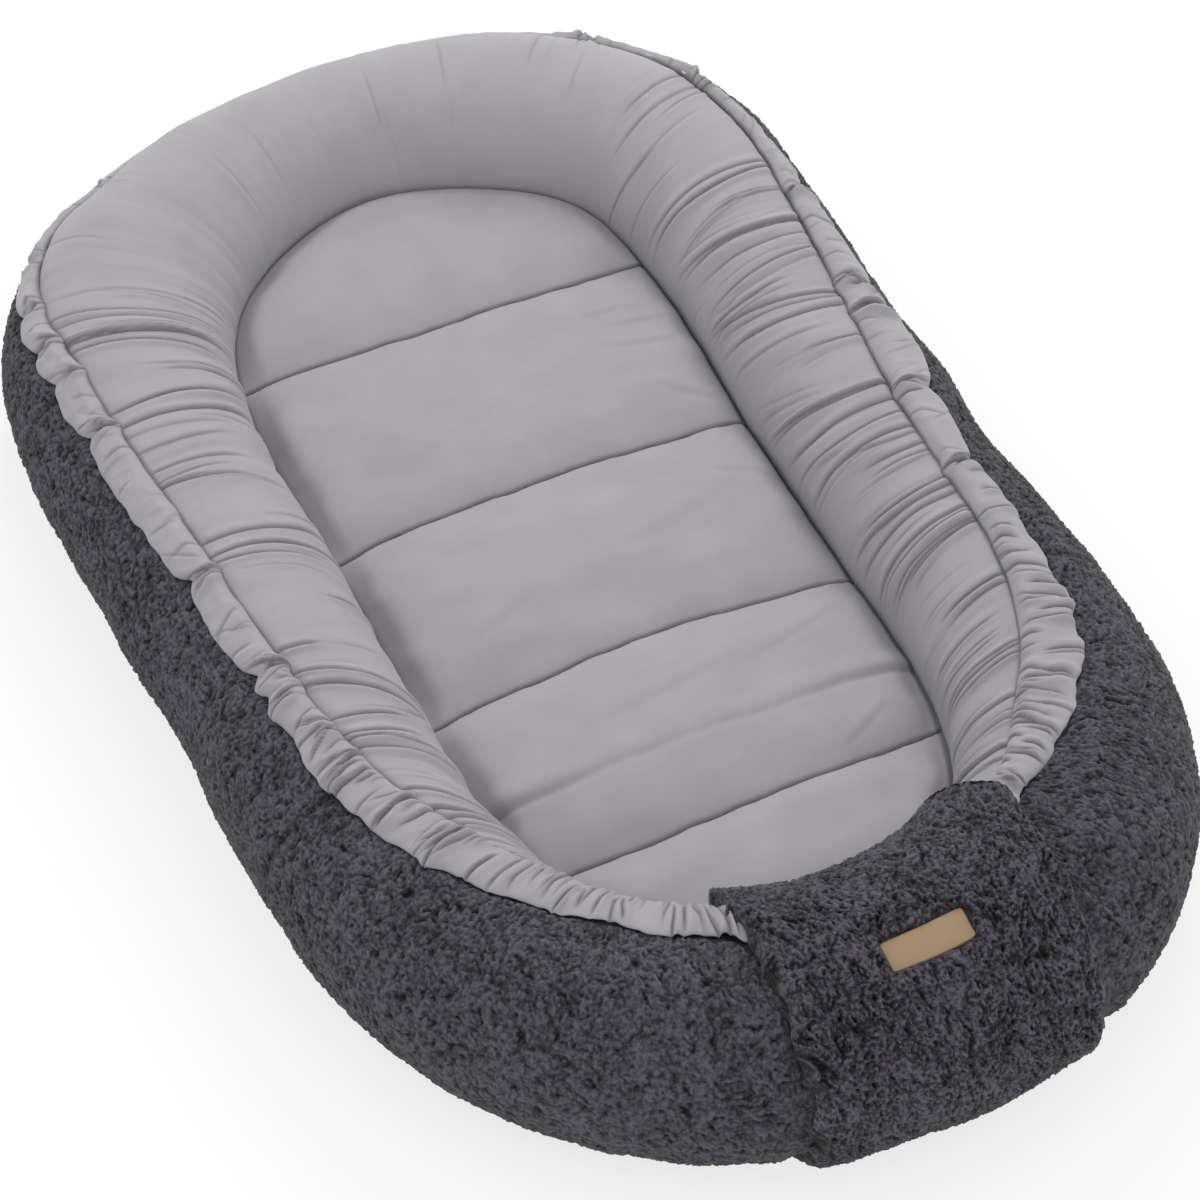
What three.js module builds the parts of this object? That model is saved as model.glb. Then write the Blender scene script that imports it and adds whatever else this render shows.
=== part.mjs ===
/**
 * Infant lounger: a padded nest with a horseshoe bolster, a quilted mattress and a foot flap that wraps
 * over the place where the bolster's two ends meet.
 *
 * Units are millimetres. +Z is up, +Y points to the head, +X is on the right when looking from foot to
 * head, and the origin is under the middle of the whole object, on the surface that it lies on.
 *
 * The bolster is one section carried round a closed plan line. A point of it is given by its arc on that
 * line (measured from the middle of the foot, anticlockwise from above), a roll angle and a lift. The
 * roll angle is 0 on top, positive outwards and negative towards the mattress, and the lift is the height
 * above the filling. Every skin, band and flap is laid on the bolster in those three values, so that the
 * layers nest with the same clearance everywhere.
 */
import * as THREE from 'three';

// Plan line of the bolster: control points of a closed cubic spline, right-hand side, head to foot.
const ringHalfWidth = 220;
const ringHalfLength = 410;
const ringPointShares = [
  [0, 1.015],
  [0.7, 0.887],
  [0.985, 0.645],
  [0.89, 0.077],
  [1, -0.506],
  [0.675, -0.862],
  [0, -0.98],
];

// Bolster section at mid-length, and how it changes towards the head and the foot.
const rollHalfWidth = 61;
const rollHalfHeight = 55;
const rollCentreHeight = 56;
const rollLeanShare = 0.097;
const rollEndsShare = 0.041;
const rollSquareness = 2.3;
const rollEndGap = 8;
const rollEndLength = 34;

// Layers, from the floor up and from the filling out.
const clearance = 0.3;
const laidClearance = 0.9;
const baseThickness = 3;
const baseReachShare = 0.5;
const linerThickness = 2;
const coverThickness = 5;
const skirtAngle = 150;

// Roll angles of the gathered casing's edges, at places from the foot (-1) to the head (1). The seam
// between liner and cover lies under the inner edge. The two sides differ, as the casing lies loose.
const rimPlaceShares = [-1, -0.85, -0.7, -0.55, -0.4, -0.2, 0, 0.2, 0.45, 0.6, 0.75, 0.86, 1];
const rimAngles = {
  rightInner: [-50, -38, -33, -20, -10, -4, 0, 8, 16, 24, 36, 60, 76],
  rightOuter: [-20, -15, 0, 9, 14, 16, 24, 35, 46, 57, 68, 86, 100],
  leftInner: [-58, -56, -43, -24, -6, 6, 14, 18, 22, 27, 44, 60, 76],
  leftOuter: [-12, -17, -3, 11, 21, 29, 42, 52, 57, 63, 76, 88, 100],
};

// The casing's walls and gathers, with the elastic inside.
const casingWall = 1.2;
const casingEdge = 2;
const gatherHeight = 3;
const gatherReach = 3.4;
const elasticWidth = 12;
const elasticThickness = 1.2;

// Mattress: a foam core under five quilted channels.
const coreThickness = 22;
const channelPitch = 145;
const headSeamFromMiddle = 214;
const channelSeams = 4;
const mattressClearance = 1;
const mattressEdgeHeight = 51;
const mattressCrown = 5;
const channelRise = 7;
const edgeRollOff = 8;
const quiltThickness = 2;
const seamSlit = 3;
const endChordShare = 0.3;

// Foot flap: a strap sewn down outside, which wraps over the bolster's ends and closes inside.
const flapOffset = 16;
const flapHalfWidth = 94;
const flapTipHalfWidth = 66;
const flapThickness = 6;
const flapLiningThickness = 1.5;
const flapTipAngle = -84;
const flapTaperAngle = -45;
const flapSkirtAngle = 140;
const hingeSlit = 0.6;

// Hook and loop tape at the flap's tip, and the leather patch on its shoulder.
const tapeThickness = 1.2;
const tapeHalfLength = 62;
const tapeUpperAngle = -63;
const tapeLowerAngle = -80;
const patchWidth = 54;
const patchHeight = 19;
const patchThickness = 1.3;
const patchAngle = 15;

// Facet counts. The two quilt tables hold the places of the facet lines across and along a channel.
const splineSteps = 720;
const sideSteps = 32;
const footSteps = 7;
const closingSteps = 3;
const linerFacets = 12;
const coverFacets = 8;
const underFacets = 1;
const soleFacets = 4;
const domeRings = 4;
const flapColumns = 12;
const tongueRows = 11;
const flapBaseRows = 5;
const tapeColumns = 10;
const patchColumns = 6;
const stripRows = 3;
const searchSteps = 30;
const footZone = 140;
const quiltAcrossShares = [0, 0.28, 0.54, 0.76, 0.92, 1];
const quiltAlongShares = [0, 0.07, 0.2, 0.5, 0.8, 0.93];

const colours = {
  cotton: 0xa9a9ad,
  teddy: 0x4b4950,
  lining: 0x35343a,
  leather: 0xbe9a69,
  filling: 0xf1efe9,
  foam: 0xe9e3c8,
  elastic: 0xe6e6e6,
  tape: 0x3a393e,
};

const radians = THREE.MathUtils.degToRad;
const lerp = THREE.MathUtils.lerp;
const fractions = (count) => Array.from({ length: count + 1 }, (_, i) => i / count);
const mixed = (start, end, count) => fractions(count).map((t) => lerp(start, end, t));

// Lifts of the layers over the bolster's filling.
const skinLift = clearance;
const linerLift = skinLift + linerThickness;
const coverLift = skinLift + coverThickness;
const laidLift = coverLift + laidClearance;
const flapLiningLift = laidLift + flapLiningThickness;
const flapLift = flapLiningLift + clearance;
const flapTopLift = flapLift + flapThickness;
const fillingFloor = baseThickness + clearance;

// Plan line

function splinePoint(points, position) {
  const index = Math.floor(position);
  const t = position - index;
  const at = (k) => points[(index + k + points.length) % points.length];
  const weights = [(1 - t) ** 3, 3 * t ** 3 - 6 * t ** 2 + 4, 1 + 3 * (t + t ** 2 - t ** 3), t ** 3];
  const sum = (axis) => weights.reduce((total, weight, k) => total + weight * at(k - 1)[axis], 0) / 6;
  return new THREE.Vector2(sum(0), sum(1));
}

/** Samples of the plan line from the middle of the foot, anticlockwise, with their arc lengths. */
function planLine() {
  const right = ringPointShares.map(([x, y]) => [x * ringHalfWidth, y * ringHalfLength]).reverse();
  const left = right.slice(1, -1).reverse().map(([x, y]) => [-x, y]);
  const points = [...right, ...left];
  const samples = fractions(splineSteps).map((t) => splinePoint(points, t * points.length));
  const arcs = [0];
  for (let i = 1; i < samples.length; i += 1) {
    arcs.push(arcs[i - 1] + samples[i].distanceTo(samples[i - 1]));
  }
  return { samples, arcs, length: arcs[splineSteps] };
}

const plan = planLine();
const planTop = plan.samples[splineSteps / 2].y;
const planBottom = plan.samples[0].y;
const planMiddle = (planTop + planBottom) / 2;
const planHalfLength = (planTop - planBottom) / 2;
const sizeAt = (place) => 1 - rollLeanShare * place + rollEndsShare * (2 * place ** 2 - 1);

/** The smooth curve through a rim edge's angles, at a place along the bolster. */
function rimAngleAt(angles, place) {
  const above = rimPlaceShares.findIndex((share) => share > place);
  const i = above < 0 ? rimPlaceShares.length - 1 : Math.max(above, 1);
  const slopeAt = (k) => {
    const [low, high] = [Math.max(k - 1, 0), Math.min(k + 1, rimPlaceShares.length - 1)];
    return (angles[high] - angles[low]) / (rimPlaceShares[high] - rimPlaceShares[low]);
  };
  const span = rimPlaceShares[i] - rimPlaceShares[i - 1];
  const t = (place - rimPlaceShares[i - 1]) / span;
  const ease = t * t * (3 - 2 * t);
  const bend = span * t * (1 - t) * (slopeAt(i - 1) * (1 - t) - slopeAt(i) * t);
  return lerp(angles[i - 1], angles[i], ease) + bend;
}

/** A station of the bolster: its centre, outward normal, size, and the angles of the rim's edges. */
function stationAt(arc) {
  const wanted = ((arc % plan.length) + plan.length) % plan.length;
  let i = plan.arcs.findIndex((value) => value > wanted) - 1;
  if (i < 0) i = splineSteps - 1;
  const t = (wanted - plan.arcs[i]) / (plan.arcs[i + 1] - plan.arcs[i]);
  const wrap = (k) => plan.samples[((k % splineSteps) + splineSteps) % splineSteps];
  const centre = wrap(i).clone().lerp(wrap(i + 1), t);
  const along = wrap(i + 2).clone().sub(wrap(i - 1)).normalize();
  const place = (centre.y - planMiddle) / planHalfLength;
  const isRight = wanted < plan.length / 2;
  return {
    arc,
    x: centre.x,
    y: centre.y,
    outX: along.y,
    outY: -along.x,
    size: sizeAt(place),
    seam: rimAngleAt(isRight ? rimAngles.rightInner : rimAngles.leftInner, place),
    rimEdge: rimAngleAt(isRight ? rimAngles.rightOuter : rimAngles.leftOuter, place),
  };
}

// Stations: a fine stretch at each side of the foot, the long sides and head, and the closing stretch.
const rollStart = rollEndGap / 2 + rollEndLength + linerLift;
const rollArcs = [
  ...mixed(rollStart, footZone, footSteps).slice(0, -1),
  ...mixed(footZone, plan.length - footZone, sideSteps).slice(0, -1),
  ...mixed(plan.length - footZone, plan.length - rollStart, footSteps),
];
const rollStations = rollArcs.map(stationAt);
const closingStations = mixed(-rollStart, rollStart, closingSteps).map(stationAt);
const beforeFoot = (station) => ({ ...station, arc: station.arc - plan.length });
const footStations = [
  ...rollStations.slice(-footSteps - 1, -1).map(beforeFoot),
  ...closingStations,
  ...rollStations.slice(1, footSteps + 1),
];

// The right-hand half of the plan line, from beside the middle of the foot to the middle of the head.
const rightStations = [closingStations.at(-2), ...rollStations.slice(0, (rollStations.length + 1) / 2)];

/** A station between two neighbours of a list, on the straight facet that joins them. */
function between(stations, arc) {
  const above = stations.findIndex((station) => station.arc > arc);
  const i = above < 0 ? stations.length - 1 : Math.max(above, 1);
  const [a, b] = [stations[i - 1], stations[i]];
  const t = (arc - a.arc) / (b.arc - a.arc);
  return Object.fromEntries(Object.keys(a).map((key) => [key, lerp(a[key], b[key], t)]));
}

/** A point on the bolster. The lower half of its section is squarer than the upper half. */
function rollPoint(station, angle, lift, scale = 1, floor = fillingFloor) {
  const width = (rollHalfWidth * station.size + lift) * scale;
  const height = (rollHalfHeight * station.size + lift) * scale;
  const centre = rollCentreHeight * station.size;
  const depth = (centre - floor + lift) * scale;
  const turn = radians(angle);
  const under = radians(Math.abs(angle) - 90);
  const power = 2 / rollSquareness;
  const isUpper = Math.abs(angle) <= 90;
  const out = isUpper ? width * Math.sin(turn) : Math.sign(angle) * width * Math.cos(under) ** power;
  const up = isUpper ? height * Math.cos(turn) : -depth * Math.sin(under) ** power;
  return new THREE.Vector3(station.x + station.outX * out, station.y + station.outY * out, centre + up);
}

// Closed bodies

/** A mesh's geometry from points and faces, turned so that its faces point outwards. */
function body(points, faces) {
  let volume = 0;
  for (let i = 0; i < faces.length; i += 3) {
    const [a, b, c] = [points[faces[i]], points[faces[i + 1]], points[faces[i + 2]]];
    volume += a.dot(b.clone().cross(c));
  }
  const geometry = new THREE.BufferGeometry().setFromPoints(points);
  geometry.setIndex(volume < 0 ? faces.toReversed() : faces);
  geometry.computeVertexNormals();
  return geometry;
}

function quad(faces, a, b, c, d) {
  faces.push(a, b, c, a, c, d);
}

/** A sheet with a thickness: two grids of points, joined along their four edges. */
function sheet(outer, inner) {
  const rows = outer.length - 1;
  const columns = outer[0].length - 1;
  const layer = (rows + 1) * (columns + 1);
  const top = (i, j) => i * (columns + 1) + j;
  const low = (i, j) => layer + top(i, j);
  const faces = [];
  for (let i = 0; i < rows; i += 1) {
    for (let j = 0; j < columns; j += 1) {
      quad(faces, top(i, j), top(i + 1, j), top(i + 1, j + 1), top(i, j + 1));
      quad(faces, low(i, j), low(i, j + 1), low(i + 1, j + 1), low(i + 1, j));
    }
    quad(faces, top(i, 0), low(i, 0), low(i + 1, 0), top(i + 1, 0));
    quad(faces, top(i, columns), top(i + 1, columns), low(i + 1, columns), low(i, columns));
  }
  for (let j = 0; j < columns; j += 1) {
    quad(faces, top(0, j), top(0, j + 1), low(0, j + 1), low(0, j));
    quad(faces, top(rows, j), low(rows, j), low(rows, j + 1), top(rows, j + 1));
  }
  return body([...outer.flat(), ...inner.flat()], faces);
}

/** A body carried through closed rings of points and shut by a pole at each end. */
function podded(rings, firstPole, lastPole) {
  const count = rings[0].length;
  const at = (i, j) => i * count + (j % count);
  const first = rings.length * count;
  const faces = [];
  for (let j = 0; j < count; j += 1) {
    for (let i = 0; i < rings.length - 1; i += 1) {
      quad(faces, at(i, j), at(i + 1, j), at(i + 1, j + 1), at(i, j + 1));
    }
    faces.push(first, at(0, j), at(0, j + 1));
    faces.push(first + 1, at(rings.length - 1, j + 1), at(rings.length - 1, j));
  }
  return body([...rings.flat(), firstPole, lastPole], faces);
}

/** A tube carried through closed rings, with or without a bore, cut off flat at both ends. */
function tube(outerRings, boreRings, outline, hole) {
  const faces = [];
  const wall = (rings, offset, flip) => {
    const count = rings[0].length;
    const at = (i, j) => offset + i * count + (j % count);
    for (let i = 0; i < rings.length - 1; i += 1) {
      for (let j = 0; j < count; j += 1) {
        const [b, d] = flip ? [at(i, j + 1), at(i + 1, j)] : [at(i + 1, j), at(i, j + 1)];
        quad(faces, at(i, j), b, at(i + 1, j + 1), d);
      }
    }
  };
  const boreStart = outerRings.flat().length;
  wall(outerRings, 0, false);
  if (boreRings.length) wall(boreRings, boreStart, true);
  const last = outerRings.length - 1;
  const capIndex = (k, i) =>
    k < outline.length ? i * outline.length + k : boreStart + i * hole.length + k - outline.length;
  for (const [a, b, c] of THREE.ShapeUtils.triangulateShape(outline, hole.length ? [hole] : [])) {
    faces.push(capIndex(a, 0), capIndex(b, 0), capIndex(c, 0));
    faces.push(capIndex(a, last), capIndex(c, last), capIndex(b, last));
  }
  return body([...outerRings.flat(), ...boreRings.flat()], faces);
}

const lounger = new THREE.Group();
lounger.name = 'infant_lounger';

function add(name, colour, roughness, geometry) {
  const material = new THREE.MeshStandardMaterial({ color: colour, roughness, metalness: 0 });
  const mesh = new THREE.Mesh(geometry, material);
  mesh.name = name;
  lounger.add(mesh);
}

// Bolster

const linerAngles = (station) => mixed(-skirtAngle, station.seam, linerFacets);
const coverAngles = (station) => mixed(station.seam, skirtAngle, coverFacets);

/** The whole section of a station, all round, on the same facet lines as the liner and the cover. */
function fullRing(station, lift, scale = 1, floor = fillingFloor) {
  const under = mixed(skirtAngle, 360 - skirtAngle, underFacets + 1).slice(1, -1);
  const underAngles = under.map((angle) => (angle > 180 ? angle - 360 : angle));
  const angles = [...linerAngles(station), ...coverAngles(station).slice(1), ...underAngles];
  return angles.map((angle) => rollPoint(station, angle, lift, scale, floor));
}

/** The rounded end of the bolster, from its rim to its pole: rings that shrink along the tangent.
 *  It clears the floor by a skin's thickness, so that the end panel passes under it. */
function endDome(station, direction, lift) {
  const along = new THREE.Vector3(-station.outY, station.outX, 0).multiplyScalar(direction);
  const reach = rollEndLength + lift;
  const ringAt = (turn) => {
    const shift = along.clone().multiplyScalar(reach * Math.sin(turn));
    return fullRing(station, lift, Math.cos(turn), fillingFloor + linerLift).map((point) => point.add(shift));
  };
  const turns = mixed(clearance / reach, Math.PI / 2, domeRings).slice(0, -1);
  const pole = new THREE.Vector3(station.x, station.y, rollCentreHeight * station.size);
  return { rings: turns.map(ringAt), pole: pole.addScaledVector(along, reach) };
}

function addBolsterFilling() {
  const start = endDome(rollStations[0], -1, 0);
  const end = endDome(rollStations.at(-1), 1, 0);
  const sides = rollStations.map((station) => fullRing(station, 0));
  const rings = [...start.rings.reverse(), ...sides, ...end.rings];
  add('bolster_filling', colours.filling, 1, podded(rings, start.pole, end.pole));
}

/** A skin of the bolster between two roll angles, which leaves a slit at the seam on one side. */
function skin(anglesOf, trim, lowLift, topLift) {
  const layer = (lift) =>
    rollStations.map((station) => {
      const slit = THREE.MathUtils.radToDeg(clearance / (rollHalfWidth * station.size));
      return anglesOf(station).map((angle, j, all) => {
        const isSeam = j === (trim < 0 ? all.length - 1 : 0);
        return rollPoint(station, isSeam ? angle + trim * slit : angle, lift);
      });
    });
  return sheet(layer(topLift), layer(lowLift));
}

/** The sewn-up end of the bolster's skin: a domed cap over the rounded filling. */
function endPanel(station, direction) {
  const outer = endDome(station, direction, linerLift);
  const inner = endDome(station, direction, skinLift);
  const faces = [];
  const count = outer.rings[0].length;
  const rings = [...outer.rings, ...inner.rings];
  const at = (i, j) => i * count + (j % count);
  const poles = rings.length * count;
  for (let j = 0; j < count; j += 1) {
    for (let i = 0; i < domeRings - 1; i += 1) {
      const k = domeRings + i;
      quad(faces, at(i, j), at(i, j + 1), at(i + 1, j + 1), at(i + 1, j));
      quad(faces, at(k, j), at(k + 1, j), at(k + 1, j + 1), at(k, j + 1));
    }
    quad(faces, at(0, j + 1), at(0, j), at(domeRings, j), at(domeRings, j + 1));
    faces.push(at(domeRings - 1, j), at(domeRings - 1, j + 1), poles);
    faces.push(at(2 * domeRings - 1, j + 1), at(2 * domeRings - 1, j), poles + 1);
  }
  return body([...rings.flat(), outer.pole, inner.pole], faces);
}

// Rim casing

const rimRadius = (station) => rollHalfWidth * station.size + laidLift;
const rimWidth = (station) => radians(station.rimEdge - station.seam) * rimRadius(station);

/** A point of the casing: how far out from the seam it lies, and how high over the cover. */
function rimPoint(station, outward, height) {
  const angle = station.seam + THREE.MathUtils.radToDeg(outward / rimRadius(station));
  return rollPoint(station, angle, laidLift + height);
}

const boreHeight = elasticThickness + 2 * clearance;
const casingThickness = boreHeight + 2 * casingWall;

/** The casing's outline, with its gather: ridge is 1 on a ridge and 0 in a valley. */
function casingOutline(width, ridge) {
  const crest = casingThickness + gatherHeight * ridge;
  const edge = width + gatherReach * ridge;
  return [
    ...mixed(0, edge, soleFacets).map((out) => [out, 0]),
    [edge, casingEdge],
    [(width + elasticWidth) / 2 + clearance, crest],
    [(width - elasticWidth) / 2 - clearance, crest],
    [0, casingEdge],
  ];
}

/** A flat band's outline, centred in the casing's width. */
function bandOutline(casing, width, low, high) {
  const [near, far] = [(casing - width) / 2, (casing + width) / 2];
  return [
    [near, low],
    [far, low],
    [far, high],
    [near, high],
  ];
}

/** The first arc at which the casing is clear of the flap's side edge, on one side of the foot. */
function casingStart(direction) {
  const edge = direction * flapOffset + flapHalfWidth + clearance;
  const isClear = (arc) => {
    const station = between(footStations, direction * arc);
    const outline = casingOutline(rimWidth(station), 1);
    return outline.every(([out, up]) => direction * rimPoint(station, out, up).x > edge);
  };
  let [low, high] = [rollStart, footZone];
  for (let i = 0; i < searchSteps; i += 1) {
    const middle = (low + high) / 2;
    if (isClear(middle)) high = middle;
    else low = middle;
  }
  return high;
}

function addRim() {
  const start = casingStart(1);
  const end = plan.length - casingStart(-1);
  const inner = rollArcs.filter((arc) => arc > start + elasticWidth && arc < end - elasticWidth);
  const arcs = [start, ...inner, end];
  const stations = arcs.map((arc) => between(rollStations, arc));
  const ringOf = (station, outline) => {
    return outline(rimWidth(station)).map(([out, up]) => rimPoint(station, out, up));
  };
  const halfway = arcs.slice(1).map((arc, i) => between(rollStations, (arc + arcs[i]) / 2));
  const gathered = stations.flatMap((station, i) => (halfway[i] ? [station, halfway[i]] : [station]));
  const boreWidth = elasticWidth + 2 * clearance;
  const bore = (width) => bandOutline(width, boreWidth, casingWall, casingWall + boreHeight);
  const low = casingWall + clearance;
  const band = (width) => bandOutline(width, elasticWidth, low, low + elasticThickness);
  const flat = (outline) => outline.map(([x, y]) => new THREE.Vector2(x, y));
  const endWidth = rimWidth(gathered[0]);
  const outerRings = gathered.map((station, i) => ringOf(station, (width) => casingOutline(width, i % 2)));
  const boreRings = gathered.map((station) => ringOf(station, bore));
  const casing = tube(outerRings, boreRings, flat(casingOutline(endWidth, 0)), flat(bore(endWidth)));
  add('rim_casing', colours.cotton, 0.95, casing);
  const bandRings = gathered.map((station) => ringOf(station, band));
  add('rim_elastic', colours.elastic, 0.9, tube(bandRings, [], flat(band(endWidth)), []));
}

// Mattress

/** Half the width of the space inside the bolster at a place along it, less a clearance. */
function spaceHalfWidth(y) {
  const edge = rightStations.map((station) => rollPoint(station, -90, linerLift + mattressClearance));
  const above = edge.findIndex((point) => point.y > y);
  const i = above < 0 ? edge.length - 1 : Math.max(above, 1);
  const [a, b] = [edge[i - 1], edge[i]];
  return lerp(a.x, b.x, (y - a.y) / (b.y - a.y));
}

/** Where the mattress ends: the place at which the space has narrowed to a share of its width. */
function mattressEnd(direction) {
  const widest = spaceHalfWidth(planMiddle);
  let [inside, outside] = [planMiddle, planMiddle + direction * planHalfLength];
  for (let i = 0; i < searchSteps; i += 1) {
    const middle = (inside + outside) / 2;
    if (spaceHalfWidth(middle) > widest * endChordShare) inside = middle;
    else outside = middle;
  }
  return inside;
}

/** The quilt's upper surface, as rows of points from foot to head, with the rows that hold a seam. */
function quiltRows() {
  const headSeam = planMiddle + headSeamFromMiddle;
  const seams = mixed(headSeam - (channelSeams - 1) * channelPitch, headSeam, channelSeams - 1);
  const stops = [mattressEnd(-1), ...seams, mattressEnd(1)];
  const across = [...quiltAcrossShares.slice(1).reverse().map((share) => -share), ...quiltAcrossShares];
  const rowAt = (y, along) => {
    const half = spaceHalfWidth(y);
    const swell = channelRise * (1 - Math.abs(2 * along - 1) ** 3);
    return across.map((share) => {
      const crown = mattressCrown * (1 - share ** 2);
      const height = mattressEdgeHeight + crown + swell - edgeRollOff * share ** 10;
      return new THREE.Vector3(half * share, y, height);
    });
  };
  const rows = stops.slice(1).flatMap((stop, k) => {
    return quiltAlongShares.map((share) => rowAt(lerp(stops[k], stop, share), share));
  });
  return [...rows, rowAt(stops.at(-1), 1)];
}

const eachPoint = (rows, change) => rows.map((row) => row.map((point) => change(point)));
const lowered = (rows, drop) => eachPoint(rows, ({ x, y, z }) => new THREE.Vector3(x, y, z - drop));
const flattened = (rows, height) => eachPoint(rows, ({ x, y }) => new THREE.Vector3(x, y, height));

function addMattress() {
  const rows = quiltRows();
  const coreTop = fillingFloor + coreThickness;
  const edges = rows.map((row) => [row[0], row.at(-1)]);
  add('mattress_core', colours.foam, 1, sheet(flattened(edges, coreTop), flattened(edges, fillingFloor)));
  const step = quiltAlongShares.length;
  for (let k = 0; k <= channelSeams; k += 1) {
    const channel = rows.slice(k * step, (k + 1) * step + 1);
    const drawn = (seamRow, nextRow) => {
      const share = seamSlit / 2 / Math.abs(nextRow[0].y - seamRow[0].y);
      return seamRow.map((point, j) => point.clone().lerp(nextRow[j], share));
    };
    const [firstRow, lastRow] = [drawn(channel[0], channel[1]), drawn(channel.at(-1), channel.at(-2))];
    const filled = [firstRow, ...channel.slice(1, -1), lastRow];
    const top = lowered(filled, quiltThickness + laidClearance);
    add(`channel_filling_${k + 1}`, colours.filling, 1, sheet(top, flattened(filled, coreTop + clearance)));
  }
  add('mattress_cover', colours.cotton, 0.95, sheet(rows, lowered(rows, quiltThickness)));
}

/** The underside cloth: a plate that follows the bolster's plan line. */
function addBaseSheet() {
  const rows = rightStations.slice(0, -1).map((station) => {
    const out = rollHalfWidth * station.size * baseReachShare;
    const [x, y] = [station.x + station.outX * out, station.y + station.outY * out];
    return [new THREE.Vector3(-x, y, 0), new THREE.Vector3(x, y, 0)];
  });
  add('base_sheet', colours.lining, 0.9, sheet(flattened(rows, baseThickness), flattened(rows, 0)));
}

// Foot flap

/** A point over the bolster's foot at a given place across it. */
function footPoint(x, angle, lift) {
  let [low, high] = [-footZone, footZone];
  for (let i = 0; i < searchSteps; i += 1) {
    const middle = (low + high) / 2;
    if (rollPoint(between(footStations, middle), angle, lift).x < x) low = middle;
    else high = middle;
  }
  return rollPoint(between(footStations, (low + high) / 2), angle, lift);
}

/** The roll angle at which a layer over the foot passes a given height. */
function angleAtHeight(x, height, lift) {
  let [low, high] = [0, flapSkirtAngle];
  for (let i = 0; i < searchSteps; i += 1) {
    const middle = (low + high) / 2;
    if (footPoint(x, middle, lift).z > height) low = middle;
    else high = middle;
  }
  return (low + high) / 2;
}

const hingeHeight = rollCentreHeight * sizeAt(-1);

/** Half the flap's width at a roll angle: it narrows in a rounded line towards the tip. */
function flapHalfWidthAt(angle) {
  const share = THREE.MathUtils.clamp((angle - flapTaperAngle) / (flapTipAngle - flapTaperAngle), 0, 1);
  return lerp(flapHalfWidth, flapTipHalfWidth, share ** 2);
}

/** A layer of the flap as a grid of points; each end is a roll angle, or the height of the hinge slit. */
function flapGrid(lift, rows, startOf, endOf) {
  return fractions(rows).map((row) =>
    mixed(-1, 1, flapColumns).map((share) => {
      const ends = [startOf, endOf].map((end) => end(flapOffset + share * flapHalfWidth, lift));
      const angle = lerp(...ends, row);
      return footPoint(flapOffset + share * flapHalfWidthAt(angle), angle, lift);
    }),
  );
}

function flapLayer(lowLift, topLift, ...extent) {
  return sheet(flapGrid(topLift, ...extent), flapGrid(lowLift, ...extent));
}

/** A small strip laid on the foot between two roll angles. */
function strip(halfLength, startAngle, endAngle, lowLift, thickness, columns, rows) {
  const layer = (lift) =>
    mixed(startAngle, endAngle, rows).map((angle) =>
      mixed(-halfLength, halfLength, columns).map((x) => footPoint(flapOffset + x, angle, lift)),
    );
  return sheet(layer(lowLift + thickness), layer(lowLift));
}

function addFlap() {
  const tip = () => flapTipAngle;
  const skirt = () => flapSkirtAngle;
  const overHinge = (x, lift) => angleAtHeight(x, hingeHeight + hingeSlit / 2, lift);
  const underHinge = (x, lift) => angleAtHeight(x, hingeHeight - hingeSlit / 2, lift);
  const tongue = [tongueRows, tip, overHinge];
  const base = [flapBaseRows, underHinge, skirt];
  add('flap_tongue', colours.teddy, 1, flapLayer(flapLift, flapTopLift, ...tongue));
  add('flap_tongue_lining', colours.lining, 0.8, flapLayer(laidLift, flapLiningLift, ...tongue));
  add('flap_base', colours.teddy, 1, flapLayer(flapLift, flapTopLift, ...base));
  add('flap_base_lining', colours.lining, 0.8, flapLayer(laidLift, flapLiningLift, ...base));
  const loopLift = linerLift + clearance;
  const hookLift = loopLift + tapeThickness + clearance;
  const tapeAngles = [tapeLowerAngle, tapeUpperAngle];
  const tape = (lift) => strip(tapeHalfLength, ...tapeAngles, lift, tapeThickness, tapeColumns, stripRows);
  add('loop_tape', colours.tape, 1, tape(loopLift));
  add('hook_tape', colours.tape, 0.7, tape(hookLift));
  const radius = rollHalfHeight * sizeAt(-1) + flapTopLift;
  const spread = THREE.MathUtils.radToDeg(patchHeight / 2 / radius);
  const patchLift = flapTopLift + laidClearance;
  const patchAngles = [patchAngle - spread, patchAngle + spread];
  const patch = strip(patchWidth / 2, ...patchAngles, patchLift, patchThickness, patchColumns, stripRows);
  add('leather_patch', colours.leather, 0.6, patch);
}

addBaseSheet();
addMattress();
addBolsterFilling();
add('bolster_liner', colours.cotton, 0.95, skin(linerAngles, -1, skinLift, linerLift));
add('outer_cover', colours.teddy, 1, skin(coverAngles, 1, skinLift, coverLift));
add('end_panel_right', colours.cotton, 0.95, endPanel(rollStations[0], -1));
add('end_panel_left', colours.cotton, 0.95, endPanel(rollStations.at(-1), 1));
addRim();
addFlap();

// The origin goes under the middle of the whole object.
lounger.position.y = -new THREE.Box3().setFromObject(lounger).getCenter(new THREE.Vector3()).y;

export default lounger;
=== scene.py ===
"""Infant lounger: the looks of a padded nest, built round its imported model.

Units are metres. +Z is up, +Y points to the head and +X is on the right when looking from foot to head.

The bolster is one section carried round a closed plan line. A point of it is given by its arc on that
line (from the middle of the foot, anticlockwise from above, so the right side comes first), a roll angle
(0 on top, positive outwards, negative towards the mattress) and a lift above the filling. Every cloth is
worked out on a grid of those values with numpy, as a whole array at a time.
"""

import logging
import math
from dataclasses import dataclass, field
from enum import Enum

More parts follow.
